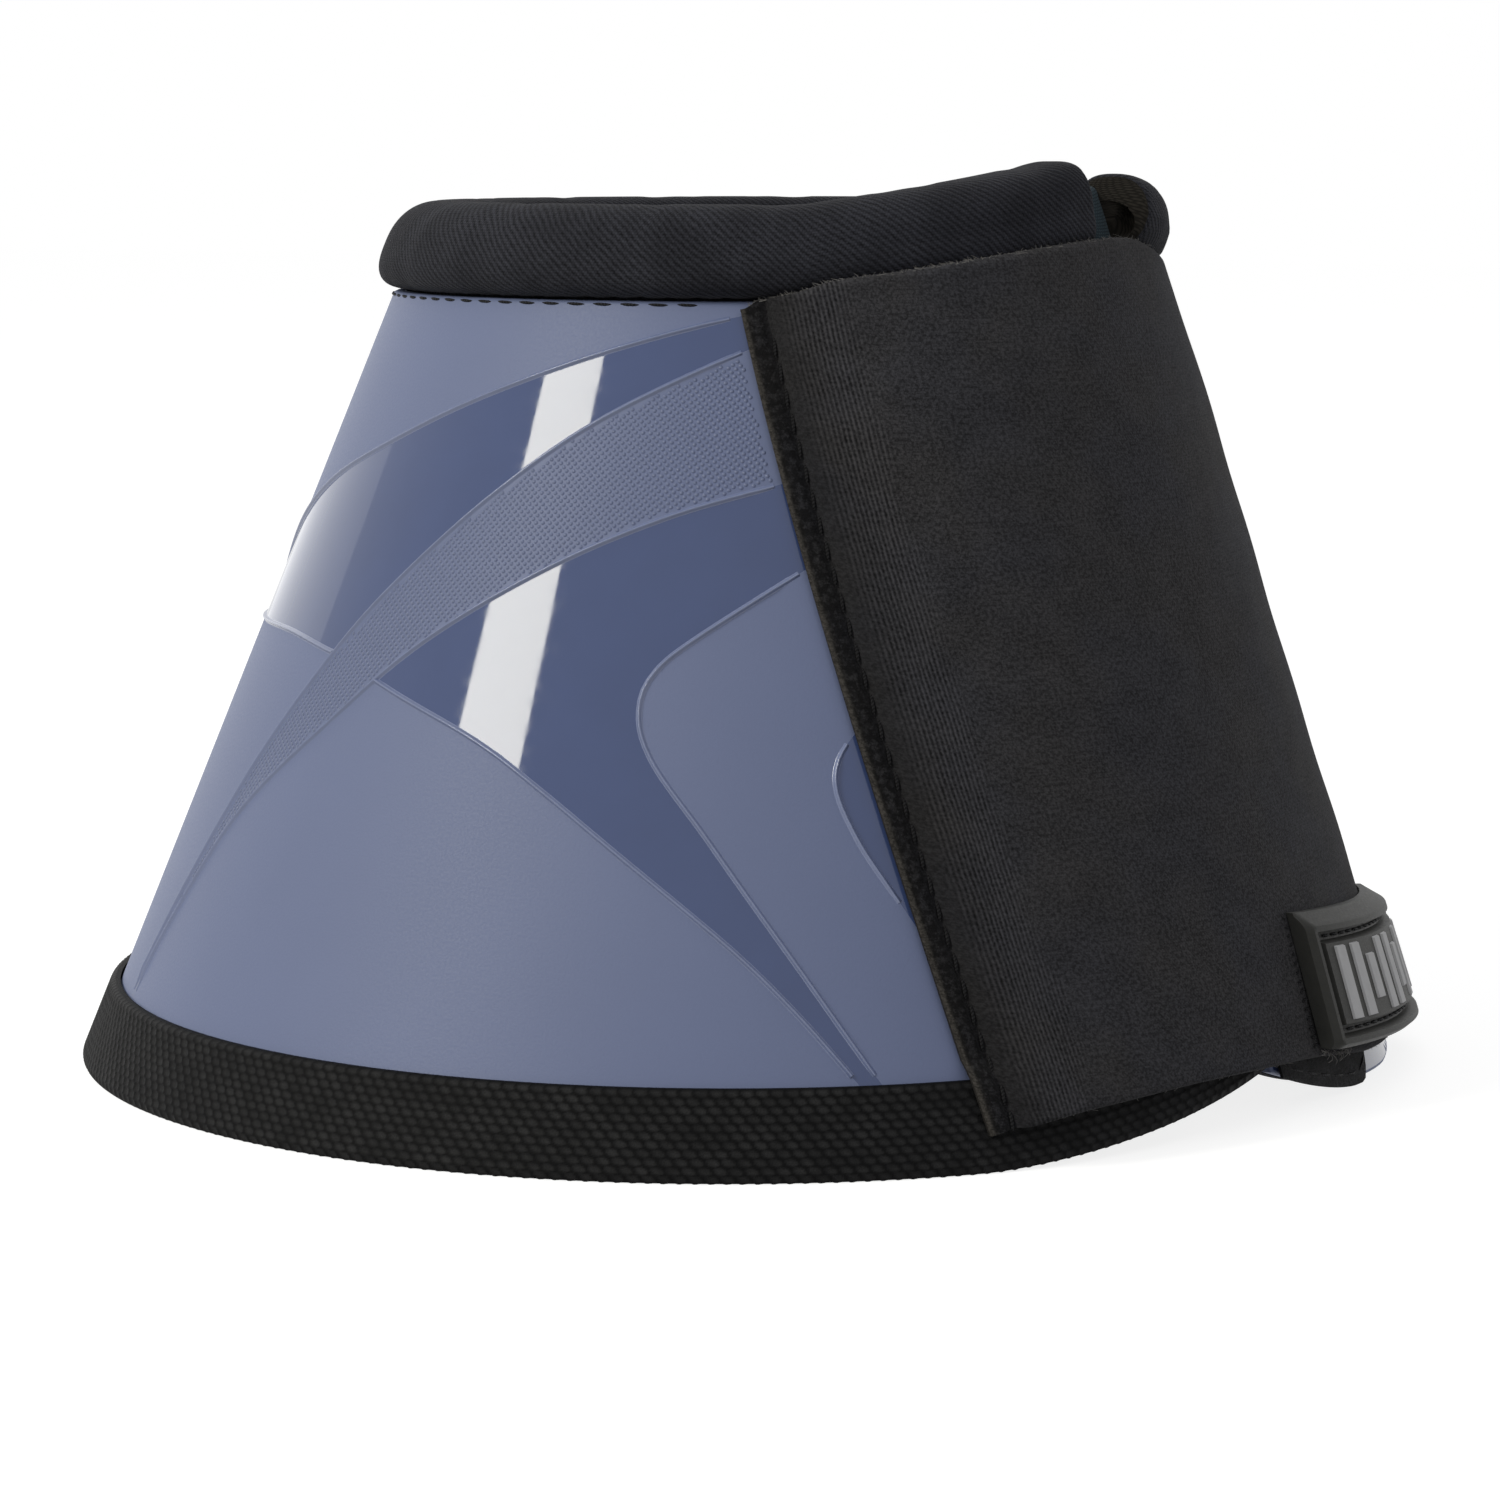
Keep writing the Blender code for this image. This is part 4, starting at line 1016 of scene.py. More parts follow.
def make_collar():
    start, end = opening_turn(tail_outer, 0.0), opening_turn(inner_tail_inner, 0.0) + 2.0 * math.pi
    outer_turns = np.linspace(start, end, 64)
    inner_turns = np.linspace(opening_turn(inner_tail_outer, collar_cover_wall) + 2.0 * math.pi,
                              opening_turn(tail_inner, collar_cover_wall), 16)
    near_seam = sum(np.exp(-((outer_turns - seam) / seam_spread) ** 2) for seam in (start, end))
    over_lining = lining_rise + seat_gap
    run = collar_run()
    rings, profile = [], None
    for angle, gather in run:
        distance = math.radians(angle) * shell_top_radius
        pucker = math.cos(2.0 * math.pi * distance / seam_pitch) * seam_pucker
        wander = sum(depth * math.sin(distance * rate + phase) for depth, rate, phase in collar_wander)
        tail = -collar_tail_length if angle < left_end_angle + half_gap_angle / 2.0 else -collar_tail_stub
        arc = tube_point(outer_turns, 0.0, gather)
        middle = np.array([-collar_inset, seat_gap + collar_half_height])
        swell = (near_seam * pucker + wander * (1.0 - near_seam)) / collar_half_width
        arc = middle + (arc - middle) * (1.0 + np.minimum(swell, 0.0)[:, None])
        profile = np.vstack([[(tail_outer, tail), (tail_outer, 0.0)], arc,
                             [(inner_tail_inner, over_lining), (inner_tail_inner, tail),
                              (inner_tail_outer, tail), (inner_tail_outer, over_lining)],
                             tube_point(inner_turns, collar_cover_wall, gather),
                             [(tail_inner, over_lining), (tail_inner, tail)]])
        rings.append(collar_place(angle - slanted(angle, profile[:, 1]), profile[:, 1], profile[:, 0]))
    distance = np.radians([angle for angle, _ in run]) * shell_top_radius
    draft = Draft()
    draft.grid(np.array(rings), grid_uv(distance, lengths_along(closed(profile))), wrap_v=True)

    def folded_in(across, up):
        """The right end's cover is tucked in round a hollow on its outer side."""
        hollow = np.hypot((across - hollow_place[0]) / hollow_size[0],
                          (up - hollow_place[1]) / hollow_size[1])
        away = np.clip(np.hypot(across / bulge_size[0], up / bulge_size[1]), 0.0, 1.0)
        return bulge_height * (1.0 - away ** 3) - hollow_depth * smooth_share((1.25 - hollow) / 0.80)

    def tucked(across, up):
        """The left end is drawn in a little."""
        return -tuck_depth * smooth_share(1.4 - np.hypot(across / tuck_size[0], up / tuck_size[1]))

    end_cap(draft, run[0][0], run[0][1], -1.0, folded_in, slot=1)
    end_cap(draft, run[-1][0], run[-1][1], 1.0, tucked, slot=1)
    return make_object("collar_roll", draft, [collar_fabric, collar_end_fabric])


def make_core():
    inset = collar_cover_wall + seat_gap
    turns = np.linspace(0.0, 2.0 * math.pi, core_sides, endpoint=False)
    run = collar_run(angle_for(inset, shell_height), angle_for(core_set_back, shell_height))
    rings = []
    for angle, gather in run:
        points = tube_point(turns, inset, gather)
        rings.append(collar_place(angle - slanted(angle, points[:, 1]), points[:, 1], points[:, 0]))
    along = np.radians([angle for angle, _ in run]) * shell_top_radius
    draft = Draft()
    capped_run(draft, np.array(rings), grid_uv(along, np.linspace(0.0, 0.03, core_sides + 1)))
    return make_object("collar_foam_rod", draft, [foam_edge])


def make_end_tab():
    """The flat sewn tab between the collar's two ends, a little lower in the middle."""
    gap = angle_for(seat_gap, shell_height)
    low, half = lining_rise + seat_gap, collar_tab_wall / 2.0
    profile = rounded([(-half, low), (-half, low + collar_tab_height), (half, low + collar_tab_height),
                       (half, low)], 0.0009, 6)
    angles = turn_steps(collar_end_angle + gap, collar_start_angle - gap, 0.4)
    rings = []
    for angle in angles:
        share = (angle - angles[0]) / (angles[-1] - angles[0])
        waist = 1.06 - 0.10 * math.sin(math.pi * share)
        inward = collar_inset - tab_drift * float(smooth_share(share))
        height = collar_base(angle) + low + (profile[:, 1] - low) * waist
        rings.append(place(angle, height, profile[:, 0] - inward))
    uv = grid_uv(np.radians(angles) * shell_top_radius, lengths_along(closed(profile)))
    draft = Draft()
    capped_run(draft, np.array(rings), uv)
    return make_object("collar_tab", draft, [tab_fabric])


collar = make_collar()
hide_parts("collar_cover")
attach(collar, "boot")
core = make_core()
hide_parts("collar_core")
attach(core, "boot")
end_tab = make_end_tab()
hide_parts("collar_end_tab")
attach(end_tab, "boot")


# Stitches

def stitch(draft, start, end, bow, radius, over_angle, slot=0, sides=6):
    """One thread stitch between two (angle, height, offset) points, arched by bow and sunk at its ends."""
    shares = np.linspace(0.0, 1.0, 7)
    path = np.array([mix(np.array(start), np.array(end), share) for share in shares])
    path[:, 2] += bow * np.sin(math.pi * shares)
    thick = radius * np.array([0.45, 0.85, 1.0, 1.0, 1.0, 0.85, 0.45])
    draft.tube(place(*path.T), thick, outward(over_angle), sides, slot)


def make_collar_seam():
    """The stitches that show between the collar and the shell's top."""
    draft = Draft()
    pitch = float(angle_for(seam_pitch, shell_height))
    start, end, sunk = 42.0, 360.0 + root_top_angle - 1.0, -0.00008
    for index in range(int((end - start) / pitch)):
        angle = start + (index + 0.5) * pitch
        height = shell_top(angle) - 0.0004
        half = pitch * 0.34
        stitch(draft, (angle - half, height, sunk), (angle + half, height - 0.0001, sunk),
               0.00014, 0.00019, angle)
    return make_object("collar_seam_thread", draft, [black_thread])


collar_seam = make_collar_seam()
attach(collar_seam, "boot")


# Bottom binding

weave_width, weave_height, weave_depth, weave_edge = 0.0019, 0.0010, 0.00016, 0.0008
binding_lip, binding_lip_run = 0.00035, 0.0006
binding_rows, binding_under_rows, binding_step_angle = 56, 14, 0.18


def weave_crown(run, across):
    """Slanted yarn crowns in a brick pattern, 1 on top and 0 between them."""
    row = across / weave_height
    x = (run / weave_width + 0.5 * (np.floor(row) % 2)) % 1.0 - 0.5
    y = row % 1.0 - 0.5
    x = (x - 0.30 * y) * weave_width / weave_height
    return np.clip(1.0 - (np.abs(x) / 0.80) ** 2.4 - (np.abs(y) / 0.48) ** 2.4, 0.0, 1.0) ** 0.5


def make_binding():
    leg_outer, lining_leg = seat_gap + binding_wall, lining_inner - seat_gap
    bend, lip, rows_end = binding_roll, binding_lip, binding_height - binding_lip_run
    corner = [(math.sin(turn), math.cos(turn)) for turn in np.linspace(math.pi / 2.0, math.pi, 8)]
    outer = [(leg_outer - lip, binding_height), (leg_outer, binding_height - lip)]
    outer += [(leg_outer, height) for height in np.linspace(rows_end, bend, binding_rows)]
    outer += [(leg_outer - bend + bend * x, bend + bend * y) for x, y in corner[1:]]
    under = np.linspace(leg_outer - bend, binding_inner + bend, binding_under_rows)
    outer += [(offset, 0.0) for offset in under[1:]]
    outer += [(binding_inner + bend - bend * x, bend + bend * y) for x, y in corner[::-1][1:]]
    outer += [(binding_inner, height) for height in np.linspace(bend, rows_end, binding_rows)[1:]]
    outer += [(binding_inner + lip, binding_height)]
    outer = np.array(outer)
    inner = np.array([(lining_leg, binding_height), (lining_leg, binding_wall), (seat_gap, binding_wall),
                      (seat_gap, binding_height)])
    step = np.gradient(outer, axis=0)
    away = unit(np.stack([-step[:, 1], step[:, 0]], -1))
    across = lengths_along(outer)
    angles = turn_steps(binding_end_angle, left_end_angle, binding_step_angle)
    run = np.radians(angles) * shell_bottom_radius
    crown = weave_crown(run[:, None], across[None])
    edge = np.minimum(across, across[-1] - across) / weave_edge
    sink = weave_depth * (1.0 - crown) * np.clip(edge, 0.0, 1.0)[None]
    rise = corner_rise(angles)[:, None]
    offsets = outer[None, :, 0] + away[None, :, 0] * sink
    heights = outer[None, :, 1] + away[None, :, 1] * sink + rise
    draft = Draft()
    face = place(angles[:, None], heights, offsets)
    draft.grid(face, grid_uv(run, across), flip=True)
    back = place(angles[:, None], inner[None, :, 1] + rise, inner[None, :, 0])
    whole_back = np.concatenate([face[:, -1:], back, face[:, :1]], 1)
    draft.grid(whole_back, grid_uv(run, np.linspace(0.0, 0.03, len(inner) + 2)), flip=True)
    for index, flip in ((0, False), (-1, True)):
        draft.cap(np.concatenate([face[index], back[index]]), flip=flip)
    thing = make_object("binding_band", draft, [binding_fabric])
    # The weave layer carries the crown heights that the binding's colour follows: painted highlight on the
    # crowns, painted shade between them.
    layer = thing.data.uv_layers.new(name="weave")
    corners = np.empty(len(thing.data.loops), int)
    thing.data.loops.foreach_get("vertex_index", corners)
    shares = np.zeros(len(thing.data.vertices))
    shares[:crown.size] = crown.ravel()
    layer.data.foreach_set("uv", np.stack([shares[corners], shares[corners]], -1).ravel())
    thing.data.uv_layers.active_index = 0
    return thing


binding = make_binding()
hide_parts("bottom_binding")
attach(binding, "boot")


# Closure flap, one padded piece from its sewn lip to its free end

lip_width, groove_width = root_strip_width, 0.0012
lip_drop, lip_drop_run = 0.0009, 0.0026    # the lip's top corner is rounded down
seam_place = lip_width + groove_width / 2.0
lip_rounding, lip_rounding_run, groove_depth = 0.00035, 0.0005, 0.00055
flap_edge_roll = 0.0009
flap_padded_from, flap_wavy_from, flap_soft_run = 0.004, 0.006, 0.004
flap_waves = ((0.00010, 190.0, 120.0), (0.00008, -90.0, 310.0))  # depth, rate along and rate upwards
over_binding_run = 0.0022                  # the flap bends out over the binding within this height
root_stitch_pitch, root_stitch_share, root_stitch_sink = 0.0033, 0.38, 0.00028
root_stitch_margins = (0.0022, 0.0026)
root_stitch_drift = (-0.00018, 0.00026)    # the stitches lean across the groove
root_foot_angle = -45.0                    # where the seam meets the binding
seam_pull, seam_pull_place, seam_pull_spread = 0.00018, 0.0025, 0.0018
flap_fine_run, flap_near_run = 0.0105, 0.020
flap_fine_steps, flap_near_steps, flap_far_steps, flap_row_steps = 43, 17, 105, 92
fibre_count, fibre_radius = 900, 0.000045


def free_corner(angle):
    lower = flap_bottom + flap_bottom_climb * line_share(flap_bottom_shares, angle)
    trim = smooth_share((angle - flap_free_angle + angle_for(flap_free_corner, lower))
                        / angle_for(flap_free_corner, lower)) * flap_free_corner / 2.0
    return lower, trim


def flap_lower(angle):
    lower, trim = free_corner(angle)
    return lower + trim


def flap_upper(angle, along):
    drawn_in = lip_drop * (1.0 - smooth_share(along / lip_drop_run))
    top = shell_height + flap_top_climb * line_share(flap_top_shares, angle)
    return top - drawn_in - free_corner(angle)[1]


def flap_surface(columns, rows, face):
    """Angles, heights and offsets of the flap's inner face, 0, or its outer one, 1, and distances along it.

    columns are (fixed distance, share of the rest).
    """
    fixed, share = columns[:, 0][:, None], columns[:, 1][:, None]
    row = rows[None, :]
    level = np.broadcast_to(mix(flap_bottom, shell_height, row), (len(columns), len(rows)))
    for _ in range(4):
        width = radius_at(level) * np.radians(flap_free_angle - root_angle(level))
        along = fixed + share * width
        angle = root_angle(level) + angle_for(along, level)
        level = mix(flap_lower(angle), flap_upper(angle, along), row)
    ramp_start = left_end_angle - 360.0 - flap_ramp_lead_angle - flap_ramp_angle
    inner = mix(seat_gap, flap_over_tape, smooth_share((angle - ramp_start) / flap_ramp_angle))
    above = level - corner_rise(angle) - binding_height - seat_gap
    over_binding = 1.0 - smooth_share(above / over_binding_run)
    inner = np.maximum(inner, mix(seat_gap, flap_over_binding, over_binding))
    if face == 0:
        return angle, np.minimum(level, shell_top(angle) - flap_inner_drop), inner, along
    lip = inner + root_strip_wall
    groove = np.exp(-((along - seam_place) / (groove_width * 0.55)) ** 2)
    shoulder = np.clip((along - lip_width - groove_width * 0.6) / flap_shoulder, 0.0, 1.0)
    below_top = (flap_upper(angle, along) - level) / flap_top_thinning_length
    full = flap_proud - flap_top_thinning * (1.0 - smooth_share(below_top))
    body = mix(lip, full, np.sin(math.pi / 2.0 * shoulder) ** 0.9)
    lip_round = lip_rounding * (1.0 - np.clip(along / lip_rounding_run, 0.0, 1.0)) ** 2
    outer = body - groove * groove_depth - lip_round
    settle = smooth_share((along - flap_wavy_from) / flap_soft_run)
    wander = sum(depth * np.sin(along * run + level * rise) for depth, run, rise in flap_waves)
    pull = seam_pull * np.cos(2.0 * math.pi * level * slant / root_stitch_pitch)
    pull = pull * np.exp(-((along - lip_width - seam_pull_place) / seam_pull_spread) ** 2)
    outer = outer + wander * settle + pull
    edge = np.minimum.reduce([(level - flap_lower(angle)), (flap_upper(angle, along) - level),
                              radius_at(level) * np.radians(flap_free_angle - angle)])
    edge = np.clip(edge / flap_edge_roll, 0.0, 1.0)
    padded_share = smooth_share((along - flap_padded_from) / flap_soft_run)
    rolled = flap_edge_roll * (1.0 - np.sqrt(1.0 - (1.0 - edge) ** 2))
    return angle, level, outer - rolled * padded_share, along


def add_root_seam(draft):
    """The sewn seam in the groove beside the lip."""
    start, end = root_stitch_margins
    half = root_stitch_pitch / slant * root_stitch_share
    for index in range(int((shell_height - flap_bottom) * slant / root_stitch_pitch) - 1):
        height = flap_bottom + start + index * root_stitch_pitch / slant
        if height > shell_height - end:
            break
        above = height - float(corner_rise(root_foot_angle)) - binding_height
        base = mix(seat_gap, flap_over_binding, 1.0 - smooth_share(above / over_binding_run))
        seat = float(base) + root_strip_wall - root_stitch_sink
        ends = [(float(root_angle(level) + angle_for(seam_place + drift, height)), level, seat)
                for level, drift in zip((height - half, height + half), root_stitch_drift)]
        stitch(draft, *ends, 0.00018, 0.00023, ends[0][0], slot=3)


def add_fibres(draft):
    """Loose fibres on the raw upper and lower edges."""
    shares = np.array([0.0, 0.4, 0.75, 1.0])
    radii = np.array([1.0, 0.9, 0.7, 0.4]) * fibre_radius
    for _ in range(fibre_count):
        on_top = fabric_random.random() < 0.72
        share = fabric_random.random() ** (1.7 if on_top else 1.0)
        level, longest, up = (shell_height, 0.100, 1.0) if on_top else (flap_bottom, 0.125, -1.0)
        along = mix(0.0015, longest, share)
        angle = float(root_angle(level)) + float(angle_for(along, level))
        height = float(flap_upper(angle, along) if on_top else flap_lower(angle))
        padded_rise = float(smooth_share((along - lip_width - groove_width) / flap_shoulder))
        offset = mix(0.0009, flap_proud - 0.0008, padded_rise) - fabric_random.random() * 0.0008 * padded_rise
        reach = mix(0.0002, 0.0006, fabric_random.random())
        drift = fabric_random.normal(size=3) * np.array([0.5, 0.3, 0.0004])
        path = np.stack([angle + shares ** 1.5 * drift[0],
                         height - up * 0.0002 + up * shares * reach * (0.6 + drift[1]),
                         offset + shares ** 2 * drift[2]])
        draft.tube(place(*path), radii, outward(angle), 3, slot=4)


def make_flap():
    middle_width = float(radius_at(0.05) * np.radians(flap_free_angle - root_angle(0.05)))
    near = np.concatenate([np.linspace(0.0, flap_fine_run, flap_fine_steps),
                           np.linspace(flap_fine_run, flap_near_run, flap_near_steps)[1:]])
    far_end = 1.0 - flap_edge_roll / middle_width
    columns = [(distance, 0.0) for distance in near]
    columns += [(flap_near_run * (1.0 - share), share)
                for share in np.linspace(0.0, far_end, flap_far_steps)[1:]]
    columns += [(0.0, mix(far_end, 1.0, share)) for share in (0.25, 0.5, 0.7, 0.85, 0.95, 1.0)]
    columns = np.array(columns)
    columns[-7:, 0] = 0.0
    roll = flap_edge_roll / shell_height
    edge_rows = roll * np.array([0.0, 0.05, 0.15, 0.3, 0.5, 0.75, 1.0])
    rows = np.concatenate([edge_rows, np.linspace(roll, 1.0 - roll, flap_row_steps)[1:-1],
                           (1.0 - edge_rows)[::-1]])
    draft = Draft()
    faces = []
    for face, slot in ((1, 0), (0, 1)):
        angle, level, offset, along = flap_surface(columns, rows, face)
        faces.append(place(angle, level, offset))
        draft.grid(faces[-1], np.stack([along, level * slant], -1), flip=face == 0, slot=slot)
    border = border_of(len(columns), len(rows))
    top, base = (points[border] for points in faces)
    rim = np.stack([mix(base, top, share) for share in (0.0, 0.33, 0.67, 1.0)], 1)
    run = lengths_along(closed(top))
    depth = np.linspace(0.0, 0.004, 4)
    draft.grid(rim, grid_uv(run, depth), wrap_u=True, slot=2)

    add_root_seam(draft)
    add_fibres(draft)
    return make_object("closure_flap_pad", draft,
                       [flap_fabric, flap_back_fabric, foam_edge, black_thread, fuzz_fibre])


flap = make_flap()
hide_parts("closure_flap", "flap_root_strip")
joint = frame["joints"][0]
hinge_axis = unit(np.array(joint["axis"], float))
blend_height = shell_height / 2.0


def blend_point(along):
    return place(float(root_angle(blend_height) + angle_for(along, blend_height)), blend_height, 0.002)


bend_start = blend_point(seam_place + 0.0010)
bend_run = blend_point(seam_place + 0.0130) - bend_start
bend_run -= hinge_axis * (bend_run @ hinge_axis)
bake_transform(flap, "boot", "flap", start=tuple(bend_start), end=tuple(bend_start + bend_run))


# Fastening tapes

patch_edge, patch_edge_run, patch_edge_angle = 0.0002, 0.0006, 0.6
patch_step_angle, patch_rows = 0.8, 60
tape_stitch_inset, tape_stitch_pitch, tape_stitch_share = 0.0016, 0.0030, 0.7
tape_stitch_sink = 0.00006


def tape_lower(angle):
    return np.full(np.shape(angle), flap_bottom + flap_bottom_climb + tape_margin)


def loop_lower(angle):
    near, far = loop_corner_angles
    away = smooth_share((np.asarray(angle, float) - near) / (far - near))
    return mix(shell_bottom(angle) + loop_corner_margin, tape_lower(angle), away)


def tape_upper(angle):
    return shell_top(angle) - tape_margin


def make_patch(start, end, lower, upper, inner, outer):
    """A thin tape on the boot between two angles."""
    angles = turn_steps(start, end, patch_step_angle)
    rows = np.linspace(0.0, 1.0, patch_rows)
    draft = Draft()
    angle, row = np.meshgrid(angles, rows, indexing="ij")
    height = mix(lower(angle), upper(angle), row)
    away = np.minimum.reduce([(angle - start) / patch_edge_angle, (end - angle) / patch_edge_angle,
                              (height - lower(angle)) / patch_edge_run,
                              (upper(angle) - height) / patch_edge_run])
    soft = patch_edge * (1.0 - np.clip(away, 0.0, 1.0)) ** 2
    uv = np.stack([np.radians(angle) * 0.07, height * slant], -1)
    draft.grid(place(angle, height, outer - soft), uv)
    draft.grid(place(angle, height, inner + soft), uv, flip=True)
    border = border_of(len(angles), len(rows))
    rim = np.stack([place(angle[border], height[border], offset)
                    for offset in (inner + patch_edge, outer - patch_edge)], 1)
    uv = grid_uv(np.linspace(0.0, 0.25, len(rim) + 1), np.array([0.0, 0.0004]))
    draft.grid(rim, uv, wrap_u=True, slot=1)
    return draft


def sew_border(draft, start, end, lower, upper, offset):
    """A row of stitches inside the border of a tape."""
    def sew(ends, over_angle):
        stitch(draft, *ends, 0.00012, 0.00020, over_angle, slot=2)

    inset, reach = tape_stitch_inset, tape_stitch_pitch * tape_stitch_share
    step = float(angle_for(tape_stitch_pitch, shell_height / 2.0))
    for edge, up in ((lower, 1.0), (upper, -1.0)):
        for angle in np.arange(start + 1.6, end - 1.6 - step * tape_stitch_share, step):
            sew([(float(turn), float(edge(turn)) + up * inset, offset)
                 for turn in (angle, angle + step * tape_stitch_share)], float(angle))
    for turn, inward in ((start, 1.0), (end, -1.0)):
        low, high = float(lower(turn)) + inset * 1.3, float(upper(turn)) - inset * 1.3
        for height in np.arange(low, high - reach, tape_stitch_pitch):
            sew([(turn + inward * float(angle_for(inset, level)), level, offset)
                 for level in (height, height + reach)], turn)


loop_start, loop_end = right_end_angle + loop_pad_margin_angle / 2.0, flap_free_angle - loop_pad_margin_angle
draft = make_patch(loop_start, loop_end, loop_lower, tape_upper, loop_inner, loop_outer)
sew_border(draft, loop_start, loop_end, loop_lower, tape_upper, loop_outer - tape_stitch_sink)
loop_pad = make_object("loop_pile_pad", draft, [loop_fabric, binding_fabric, black_thread])
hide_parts("loop_pad")
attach(loop_pad, "boot")

for index, end_name in enumerate(("front", "rear")):
    start = hook_tape_start_angle + index * (hook_tape_width_angle + hook_tape_gap_angle)
    end = start + hook_tape_width_angle
    draft = make_patch(start, end, tape_lower, tape_upper, hook_inner, hook_outer)
    sew_border(draft, start, end, tape_lower, tape_upper, hook_inner + tape_stitch_sink)
    tape = make_object(f"hook_tape_{end_name}_face", draft, [hook_fabric, binding_fabric, black_thread])
    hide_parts(f"hook_tape_{end_name}")
    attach(tape, "flap")


# Badge: a moulded rubber tab with a framed field and plain bars where the product has lettering

badge_corner = 0.0013
badge_frame, badge_groove, badge_groove_depth = 0.0014, 0.0011, 0.0014
badge_plateau_drop, badge_bevel = 0.0002, 0.00025
badge_flank, badge_flank_drop, badge_top_slope = 0.00065, 0.0009, 0.0009
badge_sag = 0.0012                         # beyond the CAD's droop
badge_bar_heights = (0.0092, 0.0092, 0.0056, 0.0092, 0.0092, 0.0056, 0.0092, 0.0056, 0.0092)
badge_bar_margin, badge_bar_share, badge_bar_rise, badge_bar_slope = 0.0012, 0.27, 0.0003, 0.00015
badge_stitch, badge_stitch_pitch, badge_stitch_lift = 0.0019, 0.0027, 0.00012
badge_step, badge_short_pitch, badge_fibres = 0.0004, 0.00115, 26


def feature_steps(marks, low, high, step):
    """Even steps between low and high that also stop just before and after each mark."""
    values = set(np.round(np.arange(low, high, step), 6)) | {low, high}
    for mark in marks:
        values |= {round(mark + shift, 6) for shift in (-0.00002, 0.00002)}
    values = sorted(value for value in values if low <= value <= high)
    return np.array(values)


def badge_level(column, row):
    return badge_bottom + row - (badge_droop + badge_sag) * column / badge_width


def badge_place(column, row, offset):
    return place(badge_start_angle + angle_for(column, badge_bottom), badge_level(column, row), offset)


def add_badge_threads(draft, middle, field_height):
    """The stitches in the groove and beside the badge's near end, and loose ends below its near corner."""
    sunk = badge_outer - badge_groove_depth + badge_stitch_lift
    turns = []
    for row in (middle, field_height - middle):
        turns += [(start, row, badge_stitch, 0.0)
                  for start in np.arange(middle, badge_width - middle - badge_stitch, badge_stitch_pitch)]
    for column in (middle, badge_width - middle):
        turns += [(column, start, 0.0, badge_stitch)
                  for start in np.arange(middle, field_height - middle - badge_stitch, badge_stitch_pitch)]
    for column, row, along, up in turns:
        ends = [(badge_start_angle + float(angle_for(x, badge_bottom)), badge_level(x, y), sunk)
                for x, y in ((column, row), (column + along, row + up))]
        stitch(draft, *ends, 0.00016, 0.00022, ends[0][0], 2)
    for level in np.arange(0.0006, badge_height, badge_short_pitch):
        ends = [(badge_start_angle - float(angle_for(out, badge_bottom)), badge_bottom + level - rise,
                 flap_proud + 0.00002) for out, rise in ((0.0003, 0.0), (0.0011, 0.0003))]
        stitch(draft, *ends, 0.00010, 0.00020, ends[0][0], 2)
    shares = np.linspace(0.0, 1.0, 4)
    for _ in range(badge_fibres):
        column, drop = fabric_random.random() * 0.0075, fabric_random.random() * 0.0009
        bend = fabric_random.normal(size=2) * 0.0006
        path = badge_place(column + shares * bend[0], -0.0002 - drop - shares * abs(bend[1]),
                           flap_proud + 0.0001 + np.sin(shares * math.pi) * 0.0005)
        draft.tube(path, np.full(4, 0.00005), outward(badge_start_angle), 3, slot=3)


def add_badge_bars(draft, plateau_in, field_height):
    """Plain raised bars."""
    face = badge_outer - badge_plateau_drop
    start = plateau_in + badge_bar_margin
    pitch = (badge_width - 2.0 * start) / len(badge_bar_heights)
    for index, height in enumerate(badge_bar_heights):
        center = start + pitch * (index + 0.5)
        half_x, half_y, slope = pitch * badge_bar_share, height / 2.0, badge_bar_slope
        gx, gy = np.meshgrid(*([-half - slope, -half, 0.0, half, half + slope] for half in (half_x, half_y)),
                             indexing="ij")
        up = (np.abs(gx) <= half_x + 1e-9) & (np.abs(gy) <= half_y + 1e-9)
        raised = face + np.where(up, badge_bar_rise, -0.0001)
        draft.grid(badge_place(center + gx, field_height / 2.0 + gy, raised),
                   np.stack([center + gx, gy], -1), slot=1)


